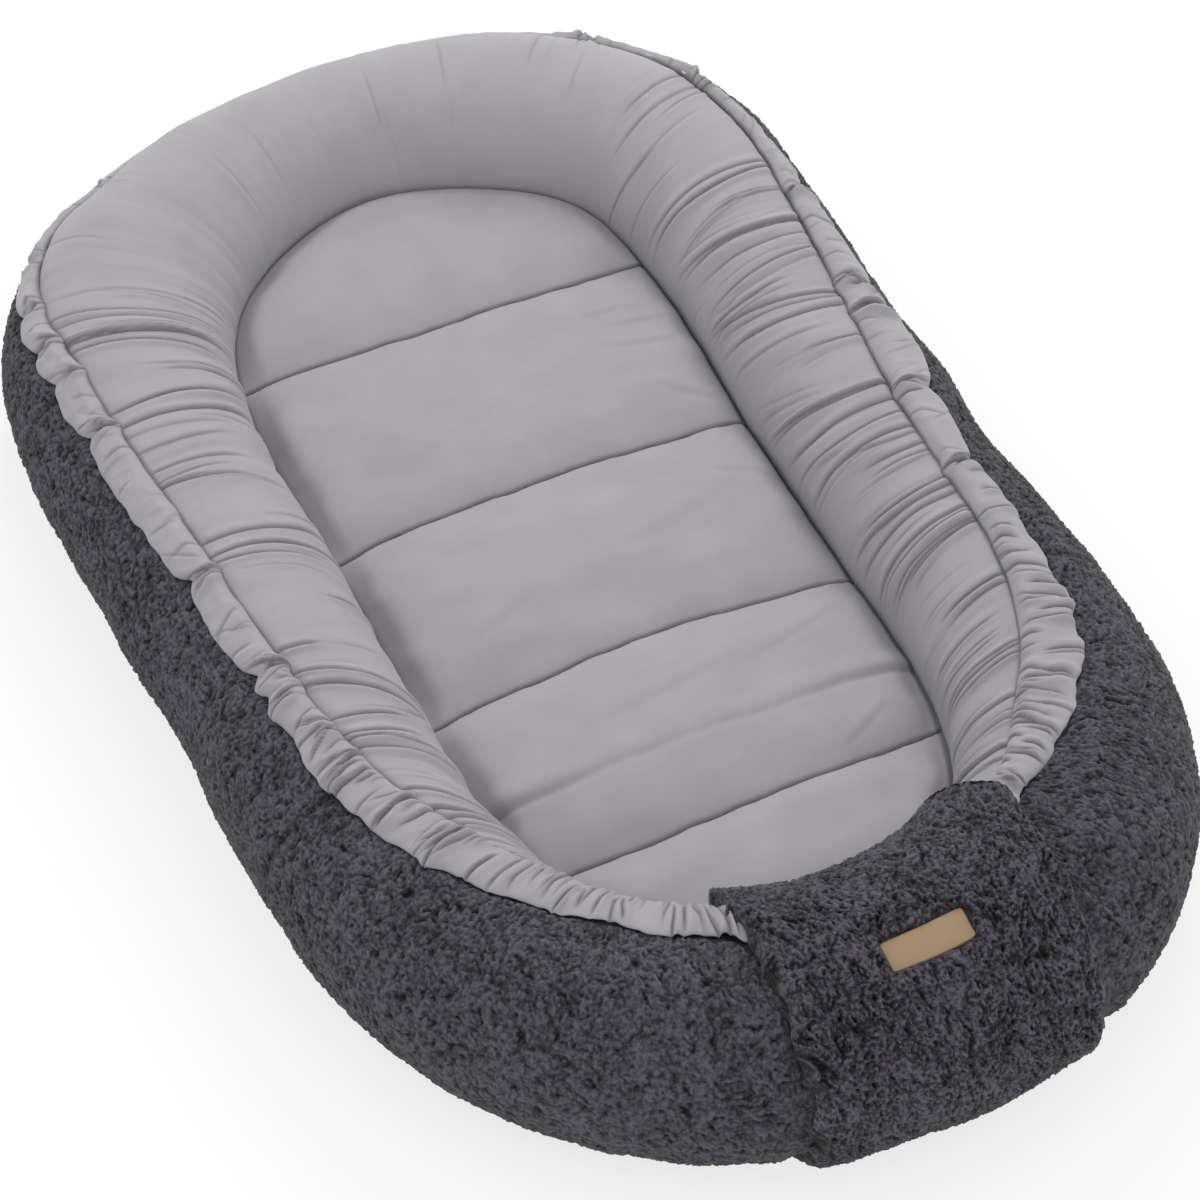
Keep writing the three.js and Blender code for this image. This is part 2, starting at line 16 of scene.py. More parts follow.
import bpy
import numpy as np
from mathutils import Matrix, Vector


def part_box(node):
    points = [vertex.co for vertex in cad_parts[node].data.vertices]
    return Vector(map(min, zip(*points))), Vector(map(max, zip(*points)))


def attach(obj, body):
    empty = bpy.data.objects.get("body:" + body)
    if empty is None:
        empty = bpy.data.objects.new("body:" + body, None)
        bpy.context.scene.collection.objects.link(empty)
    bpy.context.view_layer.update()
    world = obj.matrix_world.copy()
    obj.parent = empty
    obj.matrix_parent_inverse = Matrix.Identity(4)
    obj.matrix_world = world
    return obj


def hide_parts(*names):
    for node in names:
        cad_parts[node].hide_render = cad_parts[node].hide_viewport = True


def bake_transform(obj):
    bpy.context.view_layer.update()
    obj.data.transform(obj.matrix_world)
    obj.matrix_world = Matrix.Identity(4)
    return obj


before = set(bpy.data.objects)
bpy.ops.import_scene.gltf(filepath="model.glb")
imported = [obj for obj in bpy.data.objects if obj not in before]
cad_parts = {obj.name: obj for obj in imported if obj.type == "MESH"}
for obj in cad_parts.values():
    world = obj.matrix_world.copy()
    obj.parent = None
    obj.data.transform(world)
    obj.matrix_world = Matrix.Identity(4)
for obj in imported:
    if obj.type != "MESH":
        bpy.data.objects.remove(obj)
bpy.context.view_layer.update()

LOG = logging.getLogger("lounger")
MM = 0.001
WHITE = (1.0, 1.0, 1.0, 1.0)
Array = np.ndarray
Colour = tuple[float, float, float]
Socket = bpy.types.NodeSocket


class Side(Enum):
    """A side of the nest, seen from its foot."""

    RIGHT = 1
    LEFT = -1


class Body(Enum):
    """The two bodies that the pieces ride on."""

    ROOT = "root"
    FLAP = "foot_flap"


# Numbers and curves


def smooth_step(low: float, high: float, x: Array) -> Array:
    """Rise smoothly from 0 to 1.

    Args:
        low: Where the rise starts.
        high: Where it ends; it may be below low.
        x: The places.

    Returns:
        t * t * (3 - 2 t), with t the share of the way from low to high.
    """
    t = np.clip((np.asarray(x, float) - low) / (high - low), 0.0, 1.0)
    return t * t * (3.0 - 2.0 * t)


def bump(x: Array, width: float) -> Array:
    """A bell of height 1 that falls to 0.37 at a distance of width: exp(-(x / width)^2)."""
    return np.exp(-((x / width) ** 2))


def curve_through(knots: Array, values: Array, x: Array) -> Array:
    """A smooth curve through points: cubic Hermite pieces with slopes taken from the neighbours.

    Args:
        knots: The points' places, rising.
        values: The points' values.
        x: The places asked for.

    Returns:
        The curve's values.
    """
    knots, values = np.asarray(knots, float), np.asarray(values, float)
    slopes = np.gradient(values, knots)
    i = np.clip(np.searchsorted(knots, x) - 1, 0, len(knots) - 2)
    span = knots[i + 1] - knots[i]
    t = np.clip((x - knots[i]) / span, 0.0, 1.0)
    ease = t * t * (3.0 - 2.0 * t)
    bend = span * t * (1.0 - t) * (slopes[i] * (1.0 - t) - slopes[i + 1] * t)
    return values[i] + (values[i + 1] - values[i]) * ease + bend


def paired(u: Array, v: Array) -> Array:
    """Two arrays spread over each other and set side by side on a new last axis."""
    return np.stack(np.broadcast_arrays(u, v), axis=-1)


class Noise:
    """Smooth seeded noise on a plane: random lattice values joined by quintic curves."""

    def __init__(self, seed: int, size: int = 512) -> None:
        """Fill the lattice.

        Args:
            seed: The seed of its random numbers.
            size: The lattice's points each way, after which it repeats.
        """
        self.size = size
        self.values = np.random.default_rng(seed).uniform(-1.0, 1.0, (size, size))

    def at(self, u: Array, v: Array | float = 0.0) -> Array:
        """The noise at a place.

        Args:
            u, v: The places, in lattice steps.

        Returns:
            Values from -1 to 1.
        """
        u, v = np.broadcast_arrays(np.asarray(u, float), np.asarray(v, float))
        i, j = np.floor(u).astype(int), np.floor(v).astype(int)
        s, t = u - i, v - j
        s = s**3 * (s * (s * 6.0 - 15.0) + 10.0)
        t = t**3 * (t * (t * 6.0 - 15.0) + 10.0)
        i0, i1, j0, j1 = i % self.size, (i + 1) % self.size, j % self.size, (j + 1) % self.size
        low = self.values[i0, j0] * (1.0 - s) + self.values[i1, j0] * s
        high = self.values[i0, j1] * (1.0 - s) + self.values[i1, j1] * s
        return low * (1.0 - t) + high * t


# Meshes


@dataclass
class Patch:
    """A grid surface, by row and column.

    points: Its points, as rows x columns x 3.
    cloth: Metres along and across the cloth at each point, with one more column where it is closed.
    fields: Named values at each point, for the materials.
    closed: Whether the last column joins the first.
    """

    points: Array
    cloth: Array
    fields: dict[str, Array] = field(default_factory=dict)
    closed: bool = False

    def quads(self) -> tuple[Array, Array]:
        """The faces of the grid.

        Returns:
            Their point numbers, and the same corners' numbers in the cloth grid.
        """
        rows, columns = self.points.shape[:2]
        index = np.arange(rows * columns).reshape(rows, columns)
        flat = np.arange(self.cloth.shape[0] * self.cloth.shape[1]).reshape(self.cloth.shape[:2])
        if self.closed:
            index = np.concatenate([index, index[:, :1]], axis=1)
        return self.corners(index), self.corners(flat)

    @staticmethod
    def corners(index: Array) -> Array:
        """The four corners of each cell: out along the rows first, then along the columns."""
        cells = [index[:-1, :-1], index[1:, :-1], index[1:, 1:], index[:-1, 1:]]
        return np.stack(cells, axis=-1).reshape(-1, 4)


def cloth_object(name: str, patches: list[Patch]) -> bpy.types.Object:
    """A mesh object made of patches.

    Args:
        name: The piece's name.
        patches: Its surfaces, whose faces point outwards.

    Returns:
        The object at the origin, smooth shaded, with a UV map "cloth" in metres and the patches' fields.
    """
    starts = np.cumsum([0] + [patch.points.shape[0] * patch.points.shape[1] for patch in patches])
    points = np.concatenate([patch.points.reshape(-1, 3) for patch in patches])
    faces, corners = [], []
    for patch, start in zip(patches, starts):
        quads, flat = patch.quads()
        faces.append(quads + start)
        corners.append(patch.cloth.reshape(-1, 2)[flat.reshape(-1)])
    quads = np.concatenate(faces)
    mesh = bpy.data.meshes.new(name)
    mesh.vertices.add(len(points))
    mesh.vertices.foreach_set("co", points.astype(np.float32).reshape(-1))
    mesh.loops.add(quads.size)
    mesh.loops.foreach_set("vertex_index", quads.reshape(-1).astype(np.int32))
    mesh.polygons.add(len(quads))
    mesh.polygons.foreach_set("loop_start", np.arange(0, quads.size, 4, dtype=np.int32))
    mesh.update(calc_edges=True)
    mesh.polygons.foreach_set("use_smooth", np.ones(len(quads), dtype=bool))
    layer = mesh.uv_layers.new(name="cloth")
    layer.data.foreach_set("uv", np.concatenate(corners).astype(np.float32).reshape(-1))
    for key in patches[0].fields:
        values = np.concatenate([patch.fields[key].reshape(-1) for patch in patches])
        attribute = mesh.attributes.new(key, "FLOAT", "POINT")
        attribute.data.foreach_set("value", values.astype(np.float32))
    mesh.update()
    piece = bpy.data.objects.new(name, mesh)
    bpy.context.scene.collection.objects.link(piece)
    return piece


def grid_cloth(points: Array) -> Array:
    """Metres along the columns and along the rows of a grid, measured on its middle lines.

    Args:
        points: The grid, as rows x columns x 3.

    Returns:
        Cloth places, as rows x columns x 2.
    """
    rows, columns = points.shape[:2]
    along = np.linalg.norm(np.diff(points[rows // 2], axis=0), axis=-1)
    across = np.linalg.norm(np.diff(points[:, columns // 2], axis=0), axis=-1)
    u, v = np.r_[0.0, np.cumsum(along)], np.r_[0.0, np.cumsum(across)]
    return paired(u[None, :], v[:, None])


# Materials


def linear(colour: Colour) -> tuple[float, float, float, float]:
    """A screen colour as the linear colour of a shader.

    Args:
        colour: Its red, green and blue as the eye sees them (sRGB, 0 to 1).

    Returns:
        The linear red, green, blue and alpha.
    """
    below, above = [c / 12.92 for c in colour], [((c + 0.055) / 1.055) ** 2.4 for c in colour]
    red, green, blue = (b if c <= 0.04045 else a for c, b, a in zip(colour, below, above))
    return red, green, blue, 1.0


class NodeTree:
    """A material's nodes, made and joined by name."""

    def __init__(self, name: str) -> None:
        """Start a material with only its output and its main shader.

        Args:
            name: The material's name.
        """
        self.material = bpy.data.materials.new(name)
        self.material.use_nodes = True
        self.tree = self.material.node_tree
        self.shader = self.tree.nodes["Principled BSDF"]

    def add(self, kind: str, **settings: object) -> bpy.types.Node:
        """Add a node.

        Args:
            kind: The node's type, without its ShaderNode prefix.
            settings: Properties of the node, or values of its input sockets, with underscores for spaces.

        Returns:
            The node.
        """
        node = self.tree.nodes.new("ShaderNode" + kind)
        for key, value in settings.items():
            if hasattr(node, key):
                setattr(node, key, value)
            else:
                node.inputs[key.replace("_", " ")].default_value = value
        return node

    def join(self, source: Socket, target: Socket) -> None:
        """Join an output socket to an input socket."""
        self.tree.links.new(source, target)

    def object_place(self) -> Socket:
        """The place on the piece, in metres."""
        return self.add("TexCoord").outputs["Object"]

    def cloth_place(self) -> Socket:
        """The place on the cloth, in metres along and across it."""
        return self.add("UVMap", uv_map="cloth").outputs["UV"]

    def value_of(self, name: str) -> Socket:
        """A named value that the piece's points carry."""
        return self.add("Attribute", attribute_name=name).outputs["Fac"]

    def noise(self, place: Socket, scale: float, detail: float = 2.0) -> Socket:
        """Fractal noise.

        Args:
            place: Where it is read, in metres.
            scale: Its waves in a metre.
            detail: How many finer layers it has.

        Returns:
            A value from 0 to 1.
        """
        node = self.add("TexNoise", Scale=scale, Detail=detail)
        self.join(place, node.inputs["Vector"])
        return node.outputs["Fac"]

    def bands(self, place: Socket, pitch: float, direction: str) -> Socket:
        """Soft parallel bands.

        Args:
            place: Where they are read, in metres.
            pitch: Their spacing.
            direction: The axis that they cross, X or Y.

        Returns:
            A value from 0 to 1.
        """
        node = self.add("TexWave", bands_direction=direction, Scale=math.tau / 20.0 / pitch)
        self.join(place, node.inputs["Vector"])
        return node.outputs["Fac"]

    def sum(self, kind: str, first: Socket | float, second: Socket | float) -> Socket:
        """A sum of two values.

        Args:
            kind: The Math node's operation.
            first: A socket or a number.
            second: A socket or a number.

        Returns:
            The result's socket.
        """
        node = self.add("Math", operation=kind)
        for socket, value in zip(node.inputs, (first, second)):
            if isinstance(value, (int, float)):
                socket.default_value = value
            else:
                self.join(value, socket)
        return node.outputs[0]

    def swing(self, value: Socket, weight: float) -> Socket:
        """How far a value lies from 0.5, times a weight."""
        return self.sum("MULTIPLY", self.sum("SUBTRACT", value, 0.5), weight)

    def ramp(self, value: Socket, stops: list[tuple[float, tuple]]) -> Socket:
        """A colour by value.

        Args:
            value: The value's socket.
            stops: Places from 0 to 1 with their linear colours.

        Returns:
            The colour's socket.
        """
        node = self.add("ValToRGB")
        elements = node.color_ramp.elements
        elements[0].position, elements[0].color = stops[0]
        elements[1].position, elements[1].color = stops[-1]
        for position, colour in stops[1:-1]:
            elements.new(position).color = colour
        self.join(value, node.inputs["Fac"])
        return node.outputs["Color"]

    def dent(self, height: Socket, depth: float, strength: float) -> Socket:
        """A bumped normal.

        Args:
            height: Heights from 0 to 1.
            depth: What a height of 1 stands for.
            strength: How much of the bump shows.

        Returns:
            The normal's socket.
        """
        node = self.add("Bump", Strength=strength, Distance=depth)
        self.join(height, node.inputs["Height"])
        return node.outputs["Normal"]

    def finish(self, colour: Socket, normal: Socket, **values: float) -> bpy.types.Material:
        """Join a colour and a bumped normal to the main shader, and set its other values.

        Args:
            colour: The colour's socket.
            normal: The normal's socket.
            values: Values of the shader's own sockets, with underscores for spaces.

        Returns:
            The finished material.
        """
        self.join(colour, self.shader.inputs["Base Color"])
        self.join(normal, self.shader.inputs["Normal"])
        for key, value in values.items():
            self.shader.inputs[key.replace("_", " ")].default_value = value
        return self.material


def scaled(colour: Colour, factor: float) -> tuple[float, float, float, float]:
    """A screen colour made lighter or darker by a factor, as a linear colour."""
    return linear(tuple(min(c * factor, 1.0) for c in colour))


@dataclass(frozen=True)
class PlainCloth:
    """A smooth woven cloth.

    colour: Its colour as seen on a screen.
    thread: The pitch of its threads.
    slub_waves: How many thick and thin places its threads have in a metre.
    weave_depth: How deep the weave is.
    blotch_waves: How many paler and darker places it has in a metre.
    mottle: How much its colour varies, as a share.
    sheen: The strength of its sheen.
    valley: How dark the painted shade at the bottom of a fold is, as a share of its colour.
    """

    name: str
    colour: Colour
    thread: float = 0.42 * MM
    slub_waves: float = 900.0
    weave_depth: float = 0.10 * MM
    blotch_waves: float = 28.0
    mottle: float = 0.02
    sheen: float = 0.12
    roughness: float = 0.82
    valley: float = 0.62

    def material(self) -> bpy.types.Material:
        """Mottled colour with painted shade in fold bottoms, seams and hollows, over a bumped plain weave.

        Returns:
            The material.
        """
        nodes = NodeTree(self.name)
        cloth = nodes.cloth_place()
        blotches = nodes.noise(nodes.object_place(), self.blotch_waves, 4.0)
        darker, paler = scaled(self.colour, 1.0 - self.mottle), scaled(self.colour, 1.0 + self.mottle)
        # painted shade: the colour is multiplied by a ramp from the valley colour at a point's value 0 to
        # white at 1
        painted_shade_and_wear = nodes.add("MixRGB", blend_type="MULTIPLY", Fac=1.0)
        nodes.join(nodes.ramp(blotches, [(0.3, darker), (0.7, paler)]), painted_shade_and_wear.inputs["Color1"])
        valley = linear((self.valley,) * 3)
        nodes.join(nodes.ramp(nodes.value_of("painted_shade_and_wear"), [(0.0, valley), (1.0, WHITE)]), painted_shade_and_wear.inputs["Color2"])
        weave = nodes.sum("MULTIPLY", *(nodes.bands(cloth, self.thread, across) for across in "XY"))
        height = nodes.sum("ADD", weave, nodes.noise(cloth, self.slub_waves))
        return nodes.finish(
            painted_shade_and_wear.outputs["Color"], nodes.dent(height, self.weave_depth, 0.35),
            Roughness=self.roughness, Specular_IOR_Level=0.25, Sheen_Weight=self.sheen, Sheen_Roughness=0.45,
        )


@dataclass(frozen=True)
class CurlyPile:
    """Curly teddy pile, coloured by how high each tuft stands: painted shade between the tufts and painted
    light on their backs.

    gap: The painted shade between the tufts, as a colour seen on a screen.
    body: The colour of their sides.
    tip: The painted light on their backs, as a colour seen on a screen.
    fibre: Half the size of the finest light and dark marks.
    curl: The size of the curls' marks.
    patch_waves: How many paler and darker places it has in a metre.
    fibre_weight, curl_weight, patch_weight: How much each of these shows.
    """

    name: str
    gap: Colour
    body: Colour
    tip: Colour
    fibre: float = 0.5 * MM
    curl: float = 2.4 * MM
    patch_waves: float = 22.0
    fibre_weight: float = 0.38
    curl_weight: float = 1.15
    patch_weight: float = 0.4

    def material(self) -> bpy.types.Material:
        """Painted shade between the tufts and painted light on their backs, with fine fibres over it.

        Returns:
            The material.
        """
        nodes = NodeTree(self.name)
        place = nodes.object_place()
        fibres = nodes.noise(place, 1.0 / self.fibre / 2.0, 3.0)
        curls = nodes.noise(place, 1.0 / self.curl)
        patches = nodes.noise(place, self.patch_waves, 3.0)
        lifted = nodes.value_of("pile")
        weights = self.fibre_weight, self.curl_weight, self.patch_weight
        for part, weight in zip((fibres, curls, patches), weights):
            lifted = nodes.sum("ADD", lifted, nodes.swing(part, weight))
        # painted shade at low pile values, rising to painted light at high ones
        stops = [(0.22, linear(self.gap)), (0.58, linear(self.body)), (1.0, linear(self.tip))]
        rough = nodes.sum("ADD", nodes.sum("MULTIPLY", curls, 2.0), fibres)
        return nodes.finish(
            nodes.ramp(lifted, stops), nodes.dent(rough, 0.6 * MM, 0.7),
            Roughness=1.0, Specular_IOR_Level=0.1, Sheen_Weight=0.1, Sheen_Roughness=0.6,
        )


@dataclass(frozen=True)
class Leatherette:
    """Imitation leather with a fine grain and darker edges."""

    name: str
    colour: Colour
    grain: float = 0.9 * MM
    grain_depth: float = 0.12 * MM
    blotch_waves: float = 160.0

    def material(self) -> bpy.types.Material:
        """Cells of grain with creases between them, and a colour that darkens towards the edge.

        Returns:
            The material.
        """
        nodes = NodeTree(self.name)
        place = nodes.object_place()
        cells = nodes.add("TexVoronoi", feature="DISTANCE_TO_EDGE", Scale=1.0 / self.grain)
        nodes.join(place, cells.inputs["Vector"])
        blotches = nodes.noise(place, self.blotch_waves, 3.0)
        worn = nodes.sum("MULTIPLY", nodes.value_of("painted_shade_and_wear"), nodes.sum("ADD", blotches, 0.5))
        shade = nodes.ramp(worn, [(0.0, scaled(self.colour, 0.62)), (0.9, scaled(self.colour, 1.04))])
        creased = nodes.dent(cells.outputs["Distance"], self.grain_depth, 0.5)
        return nodes.finish(shade, creased, Roughness=0.55, Specular_IOR_Level=0.35)


@dataclass(frozen=True)
class Fibrous:
    """Foam, elastic or hook and loop tape: one colour with a rough grain of a given size and depth."""

    name: str
    colour: Colour
    grain: float
    depth: float

    def material(self) -> bpy.types.Material:
        """A grainy colour with a bump of the same grain.

        Returns:
            The material.
        """
        nodes = NodeTree(self.name)
        grain = nodes.noise(nodes.object_place(), 1.0 / self.grain, 4.0)
        shade = nodes.ramp(grain, [(0.3, scaled(self.colour, 0.86)), (0.7, scaled(self.colour, 1.04))])
        return nodes.finish(shade, nodes.dent(grain, self.depth, 0.8), Roughness=0.95)


COTTON = PlainCloth("grey_cotton", (0.615, 0.603, 0.625))
LINING = PlainCloth("dark_lining", (0.24, 0.235, 0.26), mottle=0.06, roughness=0.7)
TEDDY = CurlyPile("teddy_pile", (0.073, 0.067, 0.084), (0.213, 0.204, 0.23), (0.352, 0.34, 0.374))
# The flap's pile: coarser fibres and curls, and colours darker than the teddy's, painted shade for the flap
# that faces the foot
FLAP_TEDDY_SHADED = CurlyPile(
    "flap_pile_shaded", (0.036, 0.032, 0.044), (0.178, 0.168, 0.194), (0.355, 0.34, 0.378),
    fibre_weight=0.6, curl_weight=1.4,
)
LEATHER = Leatherette("tan_leatherette", (0.582, 0.488, 0.382))
FOAM = Fibrous("cream_foam", (0.91, 0.89, 0.78), 1.2 * MM, 0.4 * MM)
ELASTIC = Fibrous("white_elastic", (0.9, 0.9, 0.9), 0.8 * MM, 0.3 * MM)
TAPE = Fibrous("hook_tape", (0.22, 0.22, 0.24), 0.9 * MM, 0.6 * MM)


class Wardrobe:
    """The finishes' materials, each made once."""

    def __init__(self) -> None:
        """Start with no material made."""
        self.made: dict[str, bpy.types.Material] = {}

    def dress(self, piece: bpy.types.Object, finish: object) -> None:
        """Give a piece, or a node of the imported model, its only material.

        Args:
            piece: The piece or the node.
            finish: The finish that the material shows.
        """
        if finish.name not in self.made:
            self.made[finish.name] = finish.material()
        piece.data.materials.clear()
        piece.data.materials.append(self.made[finish.name])


WARDROBE = Wardrobe()


def settle(piece: bpy.types.Object, finish: object, nodes: tuple[str, ...], body: Body) -> None:
    """Dress a piece, hide the nodes that it stands for and let it ride on a body.

    Args:
        piece: The piece.
        finish: Its finish.
        nodes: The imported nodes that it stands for.
        body: The body.
    """
    WARDROBE.dress(piece, finish)
    if nodes:
        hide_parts(*nodes)
    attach(piece, body.value)
    LOG.info("%s: %d points", piece.name, len(piece.data.vertices))


# The bolster's form


@dataclass
class Bolster:
    """The roll: its plan line and its section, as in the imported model, and the lines of its rim.

    point_shares: The plan line's control points, as shares of its half width and half length.
    rim_places: Places along the roll, from -1 at the foot to 1 at the head.
    rim_angles: The roll angles of the casing's inner and outer edge at those places, on each side.
    push_places: Distances in metres from the middle of the foot.
    pushes: Millimetres by which the stuffing pushes each side of the section out there.
    """

    ring_half_width: float = 220 * MM
    ring_half_length: float = 410 * MM
    half_width: float = 61 * MM
    half_height: float = 55 * MM
    centre_height: float = 56 * MM
    lean_share: float = 0.097
    ends_share: float = 0.041
    squareness: float = 2.3
    floor: float = 3.3 * MM
    samples: int = 720
    point_shares: tuple = (
        (0, -0.98), (0.675, -0.862), (1, -0.506), (0.89, 0.077), (0.985, 0.645), (0.7, 0.887), (0, 1.015),
    )
    rim_places: tuple = (-1, -0.85, -0.7, -0.55, -0.4, -0.2, 0, 0.2, 0.45, 0.6, 0.75, 0.86, 1)
    rim_angles: dict = field(default_factory=lambda: {
        (Side.RIGHT, "inner"): (-50, -38, -33, -20, -10, -4, 0, 10, 20, 28, 36, 60, 76),
        (Side.RIGHT, "outer"): (-20, -15, 0, 9, 13, 16, 30, 42, 43, 42, 43, 68, 90),
        (Side.LEFT, "inner"): (-58, -56, -43, -24, -6, 6, 13, 16, 20, 25, 44, 60, 76),
        (Side.LEFT, "outer"): (-12, -17, -3, 11, 21, 27, 31, 34, 39, 45, 64, 78, 92),
    })
    push_places: tuple = (
        0, .06, .10, .15, .26, .34, .43, .47, .50, .54, .60, .68, .74, .80, .86, .89, .94, .97, 1.0, 1.03,
    )
    pushes: dict = field(default_factory=lambda: {
        (Side.RIGHT, "inner"): (0,) * 20,
        (Side.RIGHT, "outer"): (
            -8, -4, 0, 0, 0, -4, -8, -11, -9, -4, -9, -10, -7, -1, 2, 4, -1, -7, -11, -13,
        ),
        (Side.LEFT, "inner"): (0, 0, 0, 0, 0, 0, 0, 0, 1, 3, 4, 7, 13, 17, 15, 12, 7, 4, 2, 0),
        (Side.LEFT, "outer"): (-8, -4, -5, -6, -1, 2, 4, 3, 5, 8, 7, 7, 5, 0, -6, -11, -10, -13, -15, -13),
    })

    def __post_init__(self) -> None:
        """Sample the plan line: a closed uniform cubic spline through the control points."""
        right = np.array(self.point_shares) * [self.ring_half_width, self.ring_half_length]
        left = right[1:-1][::-1] * [-1, 1]
        points = np.vstack([right, left])
        place = np.arange(self.samples + 1) / self.samples * len(points)
        index = np.floor(place).astype(int)
        t = place - index
        weights = [(1 - t) ** 3, 3 * t**3 - 6 * t**2 + 4, 1 + 3 * (t + t**2 - t**3), t**3]
        line = sum(w[:, None] * points[(index + k - 1) % len(points)] for k, w in enumerate(weights)) / 6
        self.arcs = np.r_[0.0, np.cumsum(np.linalg.norm(np.diff(line, axis=0), axis=1))]
        self.length = self.arcs[-1]
        along = np.gradient(line, axis=0)
        along[0] = along[-1] = line[1] - line[-2]
        self.line, self.along = line, along / np.linalg.norm(along, axis=1)[:, None]
        foot, head = line[0, 1], line[self.samples // 2, 1]
        self.middle, self.reach = (foot + head) / 2, (head - foot) / 2
        filling_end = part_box("bolster_filling")[1].y
        self.shift = filling_end - head - self.half_width * float(self.size(1.0))
        self.rim = {name: self.rim_line(name) for name in ("inner", "outer")}
        self.bulge = {name: self.bulge_line(name) for name in ("inner", "outer")}

    def size(self, place: Array | float) -> Array | float:
        """The section's size at a place from -1 at the foot to 1 at the head, as a share."""
        return 1 - self.lean_share * place + self.ends_share * (2 * place**2 - 1)

    def place(self, arc: Array) -> Array:
        """The place of an arc, from -1 at the foot to 1 at the head."""
        y = np.interp(np.mod(arc, self.length), self.arcs, self.line[:, 1])
        return (y - self.middle) / self.reach

    def rim_line(self, name: str) -> Array:
        """The roll angles of a rim line, smoothed a little across foot and head.

        Args:
            name: Which line, inner or outer.

        Returns:
            The angle at every sample of the plan line.
        """
        place = self.place(self.arcs)
        is_right = self.arcs < self.length / 2
        sides = [curve_through(self.rim_places, self.rim_angles[side, name], place) for side in Side]
        angles = np.where(is_right, sides[0], sides[1])
        window = np.hanning(15)
        ring = np.r_[angles[-8:-1], angles, angles[1:8]]
        return np.convolve(ring, window / window.sum(), mode="valid")

    def bulge_line(self, name: str) -> Array:
        """How far the stuffing pushes a half of the section out.

        Args:
            name: Which half, inner or outer.

        Returns:
            The push at every sample of the plan line; a negative one is slack.
        """
        from_foot = np.minimum(self.arcs, self.length - self.arcs)
        sides = [curve_through(self.push_places, self.pushes[side, name], from_foot) * MM for side in Side]
        return np.where(self.arcs < self.length / 2, sides[0], sides[1])

    def rim_angle(self, name: str, arc: Array) -> Array:
        """The roll angle of the rim's inner or outer line."""
        return np.interp(np.mod(arc, self.length), self.arcs, self.rim[name])

    def point(self, arc: Array, angle: Array, lift: Array | float) -> Array:
        """Points of the roll.

        The upper half of the section is an ellipse and the lower half a superellipse, flat below. Its
        two sides are widened by their bulges.

        Args:
            arc: Arcs on the plan line.
            angle: Roll angles in degrees.
            lift: Heights above the filling.

        Returns:
            The points, with a last axis of 3.
        """
        arc, angle, lift = np.broadcast_arrays(arc, angle, lift)
        at = np.mod(arc, self.length)
        x, y, tx, ty = (
            np.interp(at, self.arcs, values)
            for values in (self.line[:, 0], self.line[:, 1], self.along[:, 0], self.along[:, 1])
        )
        norm = np.hypot(tx, ty)
        size = self.size((y - self.middle) / self.reach)
        width, height = self.half_width * size + lift, self.half_height * size + lift
        centre = self.centre_height * size
        depth = centre - self.floor + lift
        turn = np.radians(angle)
        under = np.radians(np.clip(np.abs(angle) - 90, 0, 90))
        power = 2 / self.squareness
        is_upper = np.abs(angle) <= 90
        out = np.where(is_upper, width * np.sin(turn), np.sign(angle) * width * np.cos(under) ** power)
        up = np.where(is_upper, height * np.cos(turn), -depth * np.sin(under) ** power)
        bulge = np.where(angle > 0, *(np.interp(at, self.arcs, self.bulge[k]) for k in ("outer", "inner")))
        out = out * (1 + bulge / (self.half_width * size))
        return np.stack([x + ty / norm * out, y - tx / norm * out + self.shift, centre + up], axis=-1)

    def arcs_along(self, start: float, end: float, angle: float, step: float) -> tuple[Array, Array]:
        """Arcs that are evenly spaced on the line at one roll angle.

        Args:
            start: The first arc.
            end: The last arc.
            angle: The roll angle of the line.
            step: The spacing wanted.

        Returns:
            The arcs, and the length along that line at each.
        """
        fine = np.linspace(start, end, 4000)
        steps = np.linalg.norm(np.diff(self.point(fine, angle, 0.0), axis=0), axis=1)
        length = np.r_[0.0, np.cumsum(steps)]
        even = np.linspace(0.0, length[-1], int(length[-1] / step) + 1)
        return np.interp(even, length, fine), even

    def arc_from_foot(self, side: Side, distance: Array | float) -> Array | float:
        """The arc at a distance from the middle of the foot, up one side."""
        return distance if side is Side.RIGHT else self.length - distance


# Creases


@dataclass(frozen=True)
class Crease:
    """One crease across a cloth: a thin valley with a rounded ridge beside it.

    place: Where its line starts, along the cloth.
    drift: How far along the cloth the line has moved at the far side.
    depth: The ridge's height above the valley.
    width: The ridge's half width; a negative one puts the ridge on the other side of the valley.
    start, stop: Where it begins and ends, as shares of the way across the cloth.
    """

    place: float
    drift: float
    depth: float
    width: float
    start: float
    stop: float


